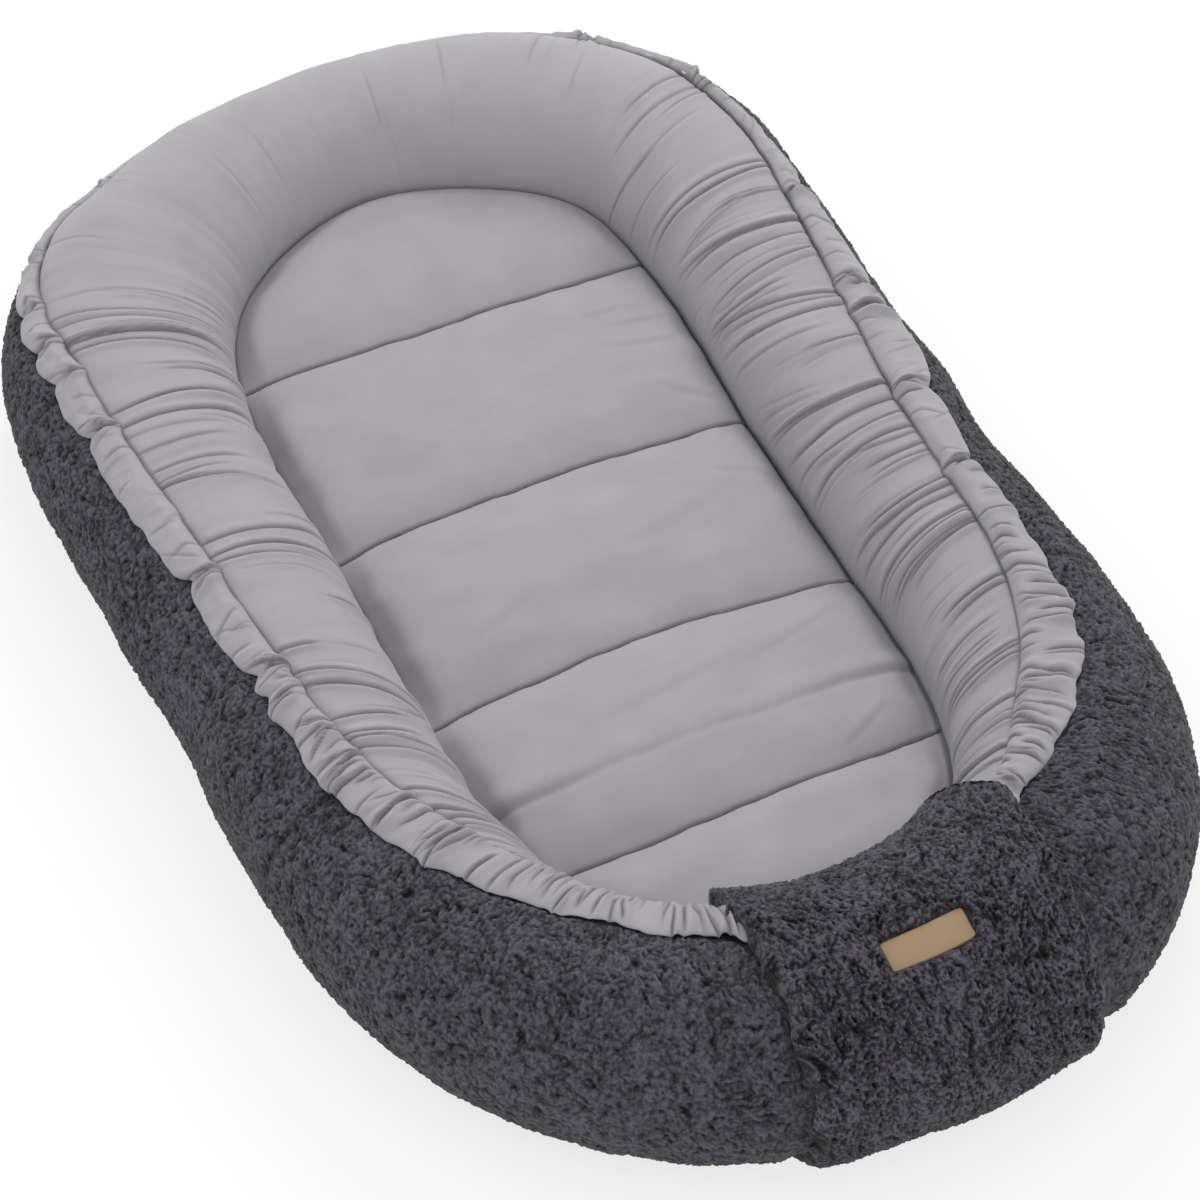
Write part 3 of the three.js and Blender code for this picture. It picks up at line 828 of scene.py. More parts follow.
def crease_relief(along: Array, way: Array, creases: list[Crease]) -> tuple[Array, Array]:
    """The relief of many creases on one cloth.

    Across its line a crease is 0.6 ridge + 0.3 slope - 0.6 valley, each a bell, and it fades in and
    out along the line, which bends by a power of the way and wobbles a little.

    Args:
        along: The columns' places along the cloth, rising.
        way: The share of the way across the cloth, at each row and column.
        creases: The creases.

    Returns:
        Heights in metres, and how deep in a valley each point lies, from 0 to 1, which the cloths paint as
        shade.
    """
    height, shade = np.zeros(way.shape), np.zeros(way.shape)
    wobble = Noise(5)
    for number, crease in enumerate(creases):
        reach = abs(crease.drift) + 6.0 * abs(crease.width)
        low, high = np.searchsorted(along, (crease.place - reach, crease.place + reach))
        t = way[:, low:high]
        line = crease.place + crease.drift * np.clip(t, 0.0, 1.3) ** 1.35
        line = line + 1.3 * MM * wobble.at(t * 3.1 + number * 7.3, number * 1.7)
        away = (along[None, low:high] - line) / crease.width
        fade = smooth_step(crease.start - 0.12, crease.start + 0.12, t)
        fade = fade * (1.0 - smooth_step(crease.stop - 0.4 * (crease.stop - crease.start), crease.stop, t))
        valley = bump(away, max(0.28, 0.85 * MM / abs(crease.width)))
        relief = 0.6 * bump(away - 1.1, 1.0) + 0.3 * bump(away + 1.9, 1.7) - 0.6 * valley
        height[:, low:high] += crease.depth * fade * relief
        # painted shade: the valley's depth, kept for the cloth's colour
        dark = valley * fade * min(crease.depth / (2.0 * MM), 1.0)
        shade[:, low:high] = np.maximum(shade[:, low:high], dark)
    return height, shade


# Bolster cloths


@dataclass(frozen=True)
class Gather:
    """A cluster of creases across the liner.

    distance: From the middle of the foot along the bolster, at the seam.
    drift: How far the creases run towards the head on their way down to the mattress.
    folds: How many deep creases it has; it has a few more fine ones than that.
    depth: The height of a deep crease's ridge above its valley.
    start, stop: Where the creases begin and end, as shares of the way from the seam to the mattress.
    """

    distance: float
    drift: float
    folds: int
    depth: float
    start: float = -0.1
    stop: float = 1.2

    def creases(self, bolster: Bolster, side: Side, rng: np.random.Generator) -> list[Crease]:
        """The cluster's creases.

        Args:
            bolster: The bolster that they lie on.
            side: The side of the nest.
            rng: The seeded random numbers.

        Returns:
            Its deep creases, and fine ones of random reach among them.
        """
        spread = (4.0 + 4.5 * self.folds) * MM
        made = []
        for k in range(round(2.3 * self.folds)):
            is_deep = k < self.folds
            offset = rng.uniform(-spread, spread) * (0.8 if is_deep else 1.3)
            depth = self.depth * (rng.uniform(0.4, 0.75) if is_deep else rng.uniform(0.08, 0.28))
            width = rng.uniform(2.0, 3.6) * MM * rng.choice([-1.0, 1.0])
            start = self.start if is_deep else self.start + rng.uniform(0.0, 0.55)
            stop = self.stop - (rng.uniform(0.0, 0.35) if is_deep else rng.uniform(0.0, 0.6))
            drift = self.drift + offset * rng.uniform(0.4, 0.8) + rng.normal(0.0, 1.6 * MM)
            place = bolster.arc_from_foot(side, self.distance + offset)
            stop = max(stop, start + 0.3)
            made.append(Crease(place, drift * side.value, depth, width, start, stop))
        return made


GATHERS = {Side.RIGHT: [
    Gather(1.005, 0.002, 1, 0.0012, 0.45, 0.8),
    Gather(0.955, 0.004, 1, 0.0012, 0.3, 0.65),
    Gather(0.880, 0.006, 3, 0.0022, -0.1, 0.55),
    Gather(0.804, 0.006, 3, 0.0030, -0.1, 0.8),
    Gather(0.765, 0.004, 2, 0.0022, 0.5, 1.2),
    Gather(0.722, 0.0, 3, 0.0040),
    Gather(0.694, 0.004, 2, 0.0034, -0.1, 0.7),
    Gather(0.658, 0.008, 4, 0.0042),
    Gather(0.628, 0.014, 2, 0.0028, 0.3, 1.2),
    Gather(0.597, 0.029, 3, 0.0046),
    Gather(0.560, 0.020, 2, 0.0028, -0.1, 0.6),
    Gather(0.502, 0.021, 5, 0.0046),
    Gather(0.462, 0.014, 3, 0.0034, -0.1, 0.8),
    Gather(0.425, 0.004, 4, 0.0050),
    Gather(0.390, -0.013, 4, 0.0048),
    Gather(0.350, -0.010, 3, 0.0040, -0.1, 0.9),
    Gather(0.318, -0.012, 3, 0.0044, 0.2, 1.2),
    Gather(0.291, -0.016, 3, 0.0052),
    Gather(0.240, -0.022, 3, 0.0044),
    Gather(0.195, -0.022, 3, 0.0042),
    Gather(0.150, -0.024, 3, 0.0040),
], Side.LEFT: [
    Gather(0.975, -0.003, 1, 0.0011, 0.5, 0.85),
    Gather(0.930, -0.006, 1, 0.0013, 0.55, 0.95),
    Gather(0.880, -0.004, 2, 0.0013, -0.1, 0.5),
    Gather(0.834, -0.010, 1, 0.0018, -0.1, 0.5),
    Gather(0.806, -0.010, 2, 0.0015, 0.5, 1.2),
    Gather(0.779, -0.012, 2, 0.0026),
    Gather(0.752, -0.016, 4, 0.0046),
    Gather(0.716, -0.012, 2, 0.0026, 0.4, 1.2),
    Gather(0.687, 0.0, 2, 0.0046),
    Gather(0.640, -0.004, 4, 0.0032, -0.1, 0.8),
    Gather(0.563, -0.014, 3, 0.0040),
    Gather(0.520, -0.014, 2, 0.0028, 0.5, 1.2),
    Gather(0.462, -0.020, 2, 0.0030, -0.1, 0.4),
    Gather(0.438, -0.046, 3, 0.0042),
    Gather(0.402, -0.012, 2, 0.0044, -0.1, 0.9),
    Gather(0.375, -0.038, 3, 0.0040),
    Gather(0.329, -0.058, 3, 0.0042),
    Gather(0.292, -0.045, 3, 0.0040),
    Gather(0.250, -0.040, 3, 0.0038),
    Gather(0.205, -0.034, 3, 0.0036),
    Gather(0.160, -0.030, 3, 0.0034),
]}


@dataclass
class Liner:
    """The cotton skin of the bolster's inner side and top, drawn into creases by the rim."""

    bolster: Bolster
    base_lift: float = 3.4 * MM
    least_lift: float = 0.6 * MM
    seam_lift: float = 1.8 * MM
    hidden_angle: float = -125.0
    under_rim: float = 8.0
    mattress_angle: float = -88.0
    foot_gap: float = 45 * MM
    spacing_angle: float = -20.0
    step: float = 0.85 * MM
    rows: int = 68
    draw: float = 1.5 * MM
    seed: int = 11

    def build(self) -> bpy.types.Object:
        """Make the liner and dress it.

        Returns:
            The piece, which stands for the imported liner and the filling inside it.
        """
        end = self.bolster.length - self.foot_gap
        arcs, _ = self.bolster.arcs_along(self.foot_gap, end, self.spacing_angle, self.step)
        seam = self.bolster.rim_angle("inner", arcs)
        share = np.linspace(0.0, 1.0, self.rows)[:, None] ** 0.9
        angle = self.hidden_angle + (seam + self.under_rim - self.hidden_angle)[None, :] * share
        way = np.clip((seam[None, :] - angle) / (seam[None, :] - self.mattress_angle), -0.2, 1.35)
        height, shade = self.relief(arcs, way)
        lift = np.maximum(self.base_lift + height, self.least_lift)
        inward = np.radians(seam[None, :] - angle) * self.bolster.half_width
        tuck = smooth_step(-1.0 * MM, 4.5 * MM, inward)
        lift = lift * tuck + self.seam_lift * (1.0 - tuck)
        points = self.bolster.point(arcs[None, :], angle, lift)
        # painted shade in the creases and in a thin dark line along the seam under the casing's edge
        painted_shade_and_wear = (1.0 - 0.75 * shade) * (0.35 + 0.65 * smooth_step(0.3 * MM, 1.6 * MM, inward))
        piece = cloth_object("bolster_liner_cloth", [Patch(points, grid_cloth(points), {"painted_shade_and_wear": painted_shade_and_wear})])
        settle(piece, COTTON, ("bolster_liner", "bolster_filling"), Body.ROOT)
        return piece

    def relief(self, arcs: Array, way: Array) -> tuple[Array, Array]:
        """The cloth's height over its mean, and how deep in a crease each point lies.

        Soft ripples run across the roll. Each gather draws the cloth in over a broad bell, and its
        creases start there.

        Args:
            arcs: The columns' arcs.
            way: The share of the way from the seam to the mattress, at each point.

        Returns:
            Heights in metres, and shades from 0 to 1.
        """
        rng = np.random.default_rng(self.seed)
        swell, ripple, fine = Noise(self.seed), Noise(self.seed + 1), Noise(self.seed + 2)
        creases, drawn = [], np.zeros(way.shape)
        for side in Side:
            for gather in GATHERS[side]:
                creases += gather.creases(self.bolster, side, rng)
                line = self.bolster.arc_from_foot(side, gather.distance) + gather.drift * side.value * way
                drawn += bump(arcs[None, :] - line, 13.0 * MM) * gather.depth / (4.0 * MM) * (1.0 - 0.5 * way)
        height, shade = crease_relief(arcs, way, creases)
        from_foot = np.minimum(arcs, self.bolster.length - arcs)[None, :]
        at_sides = 1.0 - 0.6 * smooth_step(0.80, 0.95, from_foot)
        height += 1.6 * MM * at_sides * swell.at(arcs[None, :] / 0.055, way * 1.2)
        height += 0.6 * MM * at_sides * ripple.at(arcs[None, :] / 0.016 + 0.9 * way, way * 1.4)
        height += 0.25 * MM * fine.at(arcs[None, :] / 0.0055 + 2.0 * way, way * 3.0)
        at_mattress = 1.0 - 0.7 * smooth_step(0.85, 1.05, way)
        return (height - self.draw * np.clip(drawn, 0.0, 1.3)) * at_mattress, shade


class TuftField:
    """Curly pile as a height map: short curved strokes with round backs, laid over each other."""

    cell = 0.5 * MM
    ground = 0.2
    margin = 10 * MM
    turn_scale = 16 * MM
    batch = 4000

    def __init__(
        self, length: float, width: float, tuft: tuple[float, float], flow: float, swirl: float, seed: int,
    ) -> None:
        """Stamp the strokes.

        Args:
            length: The field's length, along the first cloth coordinate; a margin is added to it.
            width: Its width, in the same way.
            tuft: A stroke's half width and half length.
            flow: The strokes' mean direction in radians, from the first coordinate.
            swirl: How far the direction turns from place to place, in radians.
            seed: The seed of the strokes' random places.
        """
        length, width = length + self.margin, width + self.margin
        half_width, half_length = tuft
        shape = int(length / self.cell) + 2, int(width / self.cell) + 2
        self.map = np.full(shape[0] * shape[1], self.ground, np.float32)
        self.shape = shape
        rng = np.random.default_rng(seed)
        count = int(length * width / (half_width * half_length) * 0.9)
        x, y = rng.uniform(0, length, count), rng.uniform(0, width, count)
        turn = flow + swirl * Noise(seed + 1).at(x / self.turn_scale, y / self.turn_scale)
        turn += rng.normal(0.0, 0.35, count)
        radius = half_length * rng.uniform(0.75, 2.6, count) * rng.choice([-1.0, 1.0], count)
        half = half_length * rng.uniform(0.6, 1.3, count)
        thick = half_width * rng.uniform(0.8, 1.25, count)
        level = rng.uniform(0.5, 1.0, count)
        for start in range(0, count, self.batch):
            part = slice(start, start + self.batch)
            self.stamp(*(values[part] for values in (x, y, turn, radius, half, thick, level)))
        self.map = self.map.reshape(shape)

    def stamp(
        self, x: Array, y: Array, turn: Array, radius: Array, half: Array, thick: Array, level: Array
    ) -> None:
        """Lay a batch of strokes on the map, keeping the higher of old and new.

        A stroke is an arc of a circle. Its height at a distance d from the arc is the half circle
        sqrt(1 - (d / thickness)^2), raised towards one end.

        Args:
            x, y: The strokes' middles.
            turn: Their directions.
            radius: Their arcs' radii; the sign says to which side they bend.
            half: Half their lengths.
            thick: Half their widths.
            level: How high they stand, from 0 to 1.
        """
        reach = int((half.max() + thick.max()) / self.cell) + 1
        window = np.arange(-reach, reach + 1)
        i = np.round(x / self.cell).astype(int)[:, None, None] + window[None, :, None]
        j = np.round(y / self.cell).astype(int)[:, None, None] + window[None, None, :]
        px, py = i * self.cell - x[:, None, None], j * self.cell - y[:, None, None]
        cos, sin = np.cos(turn)[:, None, None], np.sin(turn)[:, None, None]
        along, beside = px * cos + py * sin, py * cos - px * sin
        bend = radius[:, None, None]
        swept = np.arctan2(along, np.abs(bend) - beside * np.sign(bend)) * np.abs(bend)
        limit = half[:, None, None]
        held = np.clip(swept, -limit, limit)
        end_along = np.abs(bend) * np.sin(held / np.abs(bend))
        end_beside = bend * (1 - np.cos(held / np.abs(bend)))
        distance = np.hypot(along - end_along, beside - end_beside) / thick[:, None, None]
        back = np.sqrt(np.clip(1 - distance**2, 0, 1))
        height = back * level[:, None, None] * (0.86 + 0.14 * held / limit)
        inside = (i >= 0) & (i < self.shape[0]) & (j >= 0) & (j < self.shape[1]) & (distance < 1)
        cells = (i * self.shape[1] + j)[inside]
        np.maximum.at(self.map, cells, height[inside].astype(np.float32))

    def at(self, u: Array, v: Array) -> Array:
        """The map's height, with straight lines between cells.

        Args:
            u, v: Places on the cloth.

        Returns:
            Heights from 0 to 1.
        """
        x = np.clip(u / self.cell, 0, self.shape[0] - 1.001)
        y = np.clip(v / self.cell, 0, self.shape[1] - 1.001)
        i, j = x.astype(int), y.astype(int)
        s, t = x - i, y - j
        low = self.map[i, j] * (1 - s) + self.map[i + 1, j] * s
        high = self.map[i, j + 1] * (1 - s) + self.map[i + 1, j + 1] * s
        return low * (1 - t) + high * t


@dataclass
class TeddyCover:
    """The curly teddy skin of the bolster's outer side, sewn from panels."""

    bolster: Bolster
    panels: int = 6
    skirt_angle: float = 152.0
    least_seam_angle: float = -70.0
    rim_gap: float = 2.5
    foot_gap: float = 50 * MM
    spacing_angle: float = 60.0
    step: float = 1.0 * MM
    pressed_lift: float = 1.2 * MM
    backing_lift: float = 2.4 * MM
    pile_height: float = 4.8 * MM
    floor_gap: float = 0.6 * MM
    foot_dip: float = 5.0 * MM
    flap_edges: tuple = (115 * MM, 74 * MM)
    tuft: tuple = (1.6 * MM, 2.7 * MM)
    flow: float = 0.9
    swirl: float = 2.6
    seed: int = 21

    def build(self) -> list[bpy.types.Object]:
        """Make the panels, which meet at sunken seams, and dress them.

        Returns:
            The panels.
        """
        end = self.bolster.length - self.foot_gap
        arcs, along = self.bolster.arcs_along(self.foot_gap, end, self.spacing_angle, self.step)
        across = math.radians(self.skirt_angle - self.least_seam_angle) * self.bolster.half_width
        tufts = TuftField(along[-1], across, self.tuft, self.flow, self.swirl, self.seed)
        ends = np.linspace(0, len(arcs) - 1, self.panels + 1).astype(int)
        return [
            self.panel(k + 1, arcs[low : high + 1], along[low : high + 1], tufts)
            for k, (low, high) in enumerate(zip(ends[:-1], ends[1:]))
        ]

    def past_flap(self, arcs: Array) -> Array:
        """How far each column lies past the flap's edge, on its own side of the foot."""
        right, left = self.flap_edges
        return np.minimum(arcs - right, self.bolster.length - left - arcs)[None, :]

    def panel(self, number: int, arcs: Array, along: Array, tufts: TuftField) -> bpy.types.Object:
        """One panel.

        Args:
            number: Its number, from the right of the foot round the head.
            arcs: Its columns' arcs.
            along: Its columns' places along the cloth.
            tufts: The whole cover's pile.

        Returns:
            The panel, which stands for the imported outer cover.
        """
        seam = self.bolster.rim_angle("inner", arcs) + self.rim_gap
        widest = math.radians(float(self.skirt_angle - seam.min())) * (self.bolster.half_width + 6 * MM)
        rows = int(widest / self.step)
        share = np.linspace(0.0, 1.0, rows)[:, None]
        angle = seam[None, :] + (self.skirt_angle - seam[None, :]) * share
        across = np.radians(self.skirt_angle - angle) * self.bolster.half_width
        pile = tufts.at(along[None, :] + 0 * across, across)
        swell, lump = Noise(self.seed + 5), Noise(self.seed + 6)
        soft = 1.6 * MM * swell.at(along[None, :] / 0.075, across / 0.06)
        soft += 0.7 * MM * lump.at(along[None, :] / 0.024, across / 0.024)
        to_end = np.minimum(along - along[0], along[-1] - along)[None, :]
        seam_dip = 1.0 - 0.55 * bump(to_end, 2.6 * MM)
        edge = self.bolster.rim_angle("outer", arcs)[None, :]
        under = smooth_step(edge - 6.0, edge + 3.0, angle)
        lift = self.pressed_lift + (self.backing_lift - self.pressed_lift) * under
        past = self.past_flap(arcs)
        free = (0.25 + 0.75 * under) * (0.1 + 0.9 * smooth_step(-16.0 * MM, -6.0 * MM, past))
        lift += (self.pile_height * pile * seam_dip + soft) * free
        dip = smooth_step(-60.0, -20.0, angle) * (1.0 - 0.8 * smooth_step(75.0, 115.0, angle))
        lift -= self.foot_dip * bump(np.maximum(past, 0.0), 13.0 * MM) * dip
        points = self.bolster.point(arcs[None, :], angle, lift)
        points[..., 2] = np.maximum(points[..., 2], self.floor_gap)
        # painted shade: the pile reads lower, so darker, along the panels' sunken seams
        fields = {"pile": pile * (0.55 + 0.45 * seam_dip)}
        patch = Patch(points, paired(along[None, :], across), fields)
        piece = cloth_object(f"teddy_panel_{number}", [patch])
        settle(piece, TEDDY, ("outer_cover",), Body.ROOT)
        return piece


PINCHES = {
    Side.RIGHT: (0.93, 0.872, 0.804, 0.703, 0.608, 0.585, 0.507, 0.437),
    Side.LEFT: (0.90, 0.834, 0.794, 0.763, 0.735, 0.685, 0.548, 0.458, 0.44, 0.402, 0.375, 0.329, 0.292),
}


@dataclass
class RimCasing:
    """The gathered cotton tube that lies over the seam between liner and teddy, with its elastic."""

    bolster: Bolster
    right_start: float = 0.116
    left_start: float = 0.068
    spacing_angle: float = 20.0
    step: float = 0.72 * MM
    top_points: int = 21
    sole_points: int = 8
    sole_lift: float = 5.4 * MM
    head_sole_lift: float = 3.8 * MM
    seam_lift: float = 2.4 * MM
    puff: float = 4.6 * MM
    overlap: float = 1.5 * MM
    least_puff: float = 2.4 * MM
    scallop: float = 8.0 * MM
    cloth_width: float = 26.0 * MM
    right_gathers_end: float = 0.42
    left_gathers_end: float = 0.48
    elastic_width: float = 10.0 * MM
    elastic_thickness: float = 1.2 * MM
    elastic_lift: float = 0.9 * MM
    elastic_inset: int = 18
    elastic_stride: int = 6
    seed: int = 31

    def build(self) -> list[bpy.types.Object]:
        """Make the casing and the elastic in it.

        Returns:
            The two pieces.
        """
        end = self.bolster.length - self.left_start
        arcs, along = self.bolster.arcs_along(self.right_start, end, self.spacing_angle, self.step)
        inside = slice(self.elastic_inset, -self.elastic_inset, self.elastic_stride)
        return [self.build_casing(arcs, along), self.build_elastic(arcs[inside], along[inside])]

    def from_pinch(self, arcs: Array) -> Array:
        """The distance from each column to the nearest pinch.

        Args:
            arcs: The columns' arcs.

        Returns:
            The distances, positive on a pinch's side towards the head.
        """
        middles = [
            self.bolster.arc_from_foot(side, distance) for side in Side for distance in PINCHES[side]
        ]
        gap = arcs[:, None] - np.array(middles)
        nearest = np.abs(gap).argmin(axis=1)
        towards_head = np.where(arcs < self.bolster.length / 2, 1.0, -1.0)
        return gap[np.arange(len(arcs)), nearest] * towards_head

    def gathered(self, arcs: Array) -> Array:
        """How densely the casing is gathered.

        Args:
            arcs: The columns' arcs.

        Returns:
            Shares from 0 on the upper sides to 1 round the foot.
        """
        right = smooth_step(self.right_gathers_end, self.right_gathers_end - 0.06, arcs)
        left = smooth_step(self.left_gathers_end, self.left_gathers_end - 0.10, self.bolster.length - arcs)
        return np.maximum(right, left)

    def sole(self, arcs: Array) -> Array:
        """The height of the casing's underside over the filling, lower at the head."""
        head = smooth_step(0.35, 0.75, self.bolster.place(arcs))
        return self.sole_lift + (self.head_sole_lift - self.sole_lift) * head

    def rim_lines(self, arcs: Array) -> tuple[Array, Array, Array]:
        """Where the casing lies on the roll.

        Args:
            arcs: The columns' arcs.

        Returns:
            The inner edge's roll angle, the width to the outer edge, and the radius that it lies on.
        """
        inner = self.bolster.rim_angle("inner", arcs)
        outer = self.bolster.rim_angle("outer", arcs)
        radius = self.bolster.half_width * self.bolster.size(self.bolster.place(arcs)) + self.sole_lift
        return inner, np.radians(outer - inner) * radius, radius

    def build_casing(self, arcs: Array, along: Array) -> bpy.types.Object:
        """The casing, as a closed tube of cloth.

        Its width swells to a scallop between two pinches, and its outer edge waves where it is
        gathered. Its top is (1 - |2 s - 1|^3.6)^0.5 of the puff, with s the share of the width.

        Args:
            arcs: The columns' arcs.
            along: The length along the casing at each.

        Returns:
            The piece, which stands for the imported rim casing.
        """
        dense = self.gathered(arcs)
        away = self.from_pinch(arcs)
        pinch = bump(away, 6.0 * MM) * (1.0 - 0.6 * dense)
        full = 1.0 - np.exp(-np.abs(away) / (9.0 * MM))
        overlap = self.overlap * np.tanh(away / (0.9 * MM)) * np.exp(-np.abs(away) / (8.0 * MM))
        overlap = overlap * (1.0 - 0.5 * dense)
        across = np.concatenate([
            np.sin(np.linspace(0.0, 1.0, self.top_points) * math.pi / 2) ** 1.15,
            np.linspace(1.0, 0.0, self.sole_points + 2)[1:-1],
        ])[:, None]
        is_top = (np.arange(len(across)) < self.top_points)[:, None]
        inner, width, radius = self.rim_lines(arcs)
        width = width + (1.0 - dense) * self.scallop * (full - 0.7)
        edge_wave, jog = Noise(self.seed + 3), Noise(self.seed + 4)
        width += (1.1 + 1.3 * dense) * MM * edge_wave.at(along / 0.011)
        width += 1.5 * MM * dense * edge_wave.at(along / 0.03)
        height, shade = crease_relief(arcs, across + 0 * arcs[None, :], self.creases(arcs, dense))
        inner_shift = (2.6 * MM * pinch + 0.7 * MM * jog.at(along / 0.013)) * (1.0 - across)
        angle = inner[None, :] + np.degrees((across * width[None, :] - inner_shift) / radius[None, :])
        rounded = np.sqrt(np.clip(1.0 - np.abs(2.0 * across - 1.0) ** 3.6, 0.0, 1.0))
        crumple = 0.6 * MM * (0.4 - 2.0 * np.abs(jog.at(along[None, :] / 0.010, across * 2.2)))
        crumple += 0.9 * MM * edge_wave.at(along[None, :] / 0.028, across * 1.5 + 5.0)
        flat = 1.0 - smooth_step(0.0, 22.0 * MM, np.minimum(along, along[-1] - along))
        puff = self.puff * (1.0 - 0.45 * pinch - 0.2 * dense - 0.3 * flat)
        height = height * (1.0 - 0.6 * flat)
        top = puff * (1.0 - 0.3 * (across - 0.5) * (1.0 - dense)) + crumple + height + overlap[None, :]
        top = np.maximum(top, self.least_puff)
        lifted = np.maximum(height, 0.0) * smooth_step(0.5, 1.0, across) * dense
        sole = (self.sole(arcs) * (1.0 - 0.4 * flat))[None, :]
        sole = sole - (sole - self.seam_lift) * (1.0 - smooth_step(0.0, 0.3, across))
        lift = sole + np.where(is_top, rounded * top, -0.4 * MM * rounded) + lifted
        points = self.bolster.point(arcs[None, :], angle, lift).transpose(1, 0, 2)[:, ::-1]
        # painted shade: darker in the creases and along the inner edge, and dark on the underside
        painted_shade_and_wear = np.where(is_top, (1.0 - 0.8 * shade) * smooth_step(-0.12, 0.07, across), 0.2)
        turn = np.concatenate([across[::-1, 0], [2.0]]) * self.cloth_width
        cloth = paired(along[:, None], turn[None, :])
        patch = Patch(points, cloth, {"painted_shade_and_wear": painted_shade_and_wear.T[:, ::-1]}, closed=True)
        piece = cloth_object("rim_casing_cloth", [patch])
        settle(piece, COTTON, ("rim_casing",), Body.ROOT)
        return piece

    def creases(self, arcs: Array, dense: Array) -> list[Crease]:
        """The casing's creases: tight clusters at the pinches, gathers round the foot, a few elsewhere.

        Args:
            arcs: The columns' arcs.
            dense: How gathered it is at each.

        Returns:
            The creases, across the casing from its inner edge.
        """
        rng = np.random.default_rng(self.seed)
        made = []
        for side in Side:
            for distance in PINCHES[side]:
                middle = self.bolster.arc_from_foot(side, distance)
                for _ in range(5):
                    offset, drift = rng.uniform(-6.5, 6.5) * MM, rng.normal(-3.0 * side.value, 6.0) * MM
                    start, depth = rng.choice([-0.2, -0.2, 0.3]), rng.uniform(1.4, 3.4) * MM
                    width = rng.uniform(1.8, 3.4) * MM * rng.choice([-1.0, 1.0])
                    stop = start + rng.uniform(0.7, 1.5)
                    made.append(Crease(middle + offset, drift, depth, width, start, stop))
        place = arcs[0]
        while place < arcs[-1]:
            gathered = float(np.interp(place, arcs, dense))
            place += rng.uniform(0.35, 1.5) * (7.0 * gathered + 15.0 * (1.0 - gathered)) * MM
            start = rng.choice([-0.2, -0.2, 0.15, 0.45])
            depth = (rng.uniform(1.2, 3.8) * gathered + rng.uniform(0.4, 1.5) * (1.0 - gathered)) * MM
            width = rng.uniform(2.2 - 0.5 * gathered, 5.0 - 0.8 * gathered) * MM * rng.choice([-1.0, 1.0])
            footward = -12.0 if place < self.bolster.length / 2 else 10.0
            drift = rng.normal(footward * gathered, 5.0 + 5.0 * (1.0 - gathered)) * MM
            made.append(Crease(place, drift, depth, width, start, start + rng.uniform(0.5, 1.5)))
        return made

    def build_elastic(self, arcs: Array, along: Array) -> bpy.types.Object:
        """The flat braided elastic in the casing's middle, as a closed band.

        Args:
            arcs: The columns' arcs.
            along: The length along the casing at each.

        Returns:
            The piece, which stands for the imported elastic.
        """
        inner, width, radius = self.rim_lines(arcs)
        turn = np.linspace(0.0, math.tau, 17)[:-1]
        width = width - 0.7 * self.scallop * (1.0 - self.gathered(arcs))
        reach = np.minimum(self.elastic_width / 2, 0.2 * width)[:, None]
        side = (np.sign(np.cos(turn)) * np.abs(np.cos(turn)) ** 0.4)[None, :] * reach
        up = np.sin(turn) * self.elastic_thickness / 2
        angle = inner[:, None] + np.degrees((width[:, None] * 0.56 + side) / radius[:, None])
        lift = (self.sole(arcs) + self.elastic_lift)[:, None] + up[None, :]
        points = self.bolster.point(arcs[:, None], angle, lift)
        round_it = np.linspace(0.0, 2 * self.elastic_width, 17)
        cloth = paired(along[:, None], round_it[None, :])
        piece = cloth_object("rim_elastic_band", [Patch(points[:, ::-1], cloth, closed=True)])
        settle(piece, ELASTIC, ("rim_elastic",), Body.ROOT)
        return piece


# Mattress


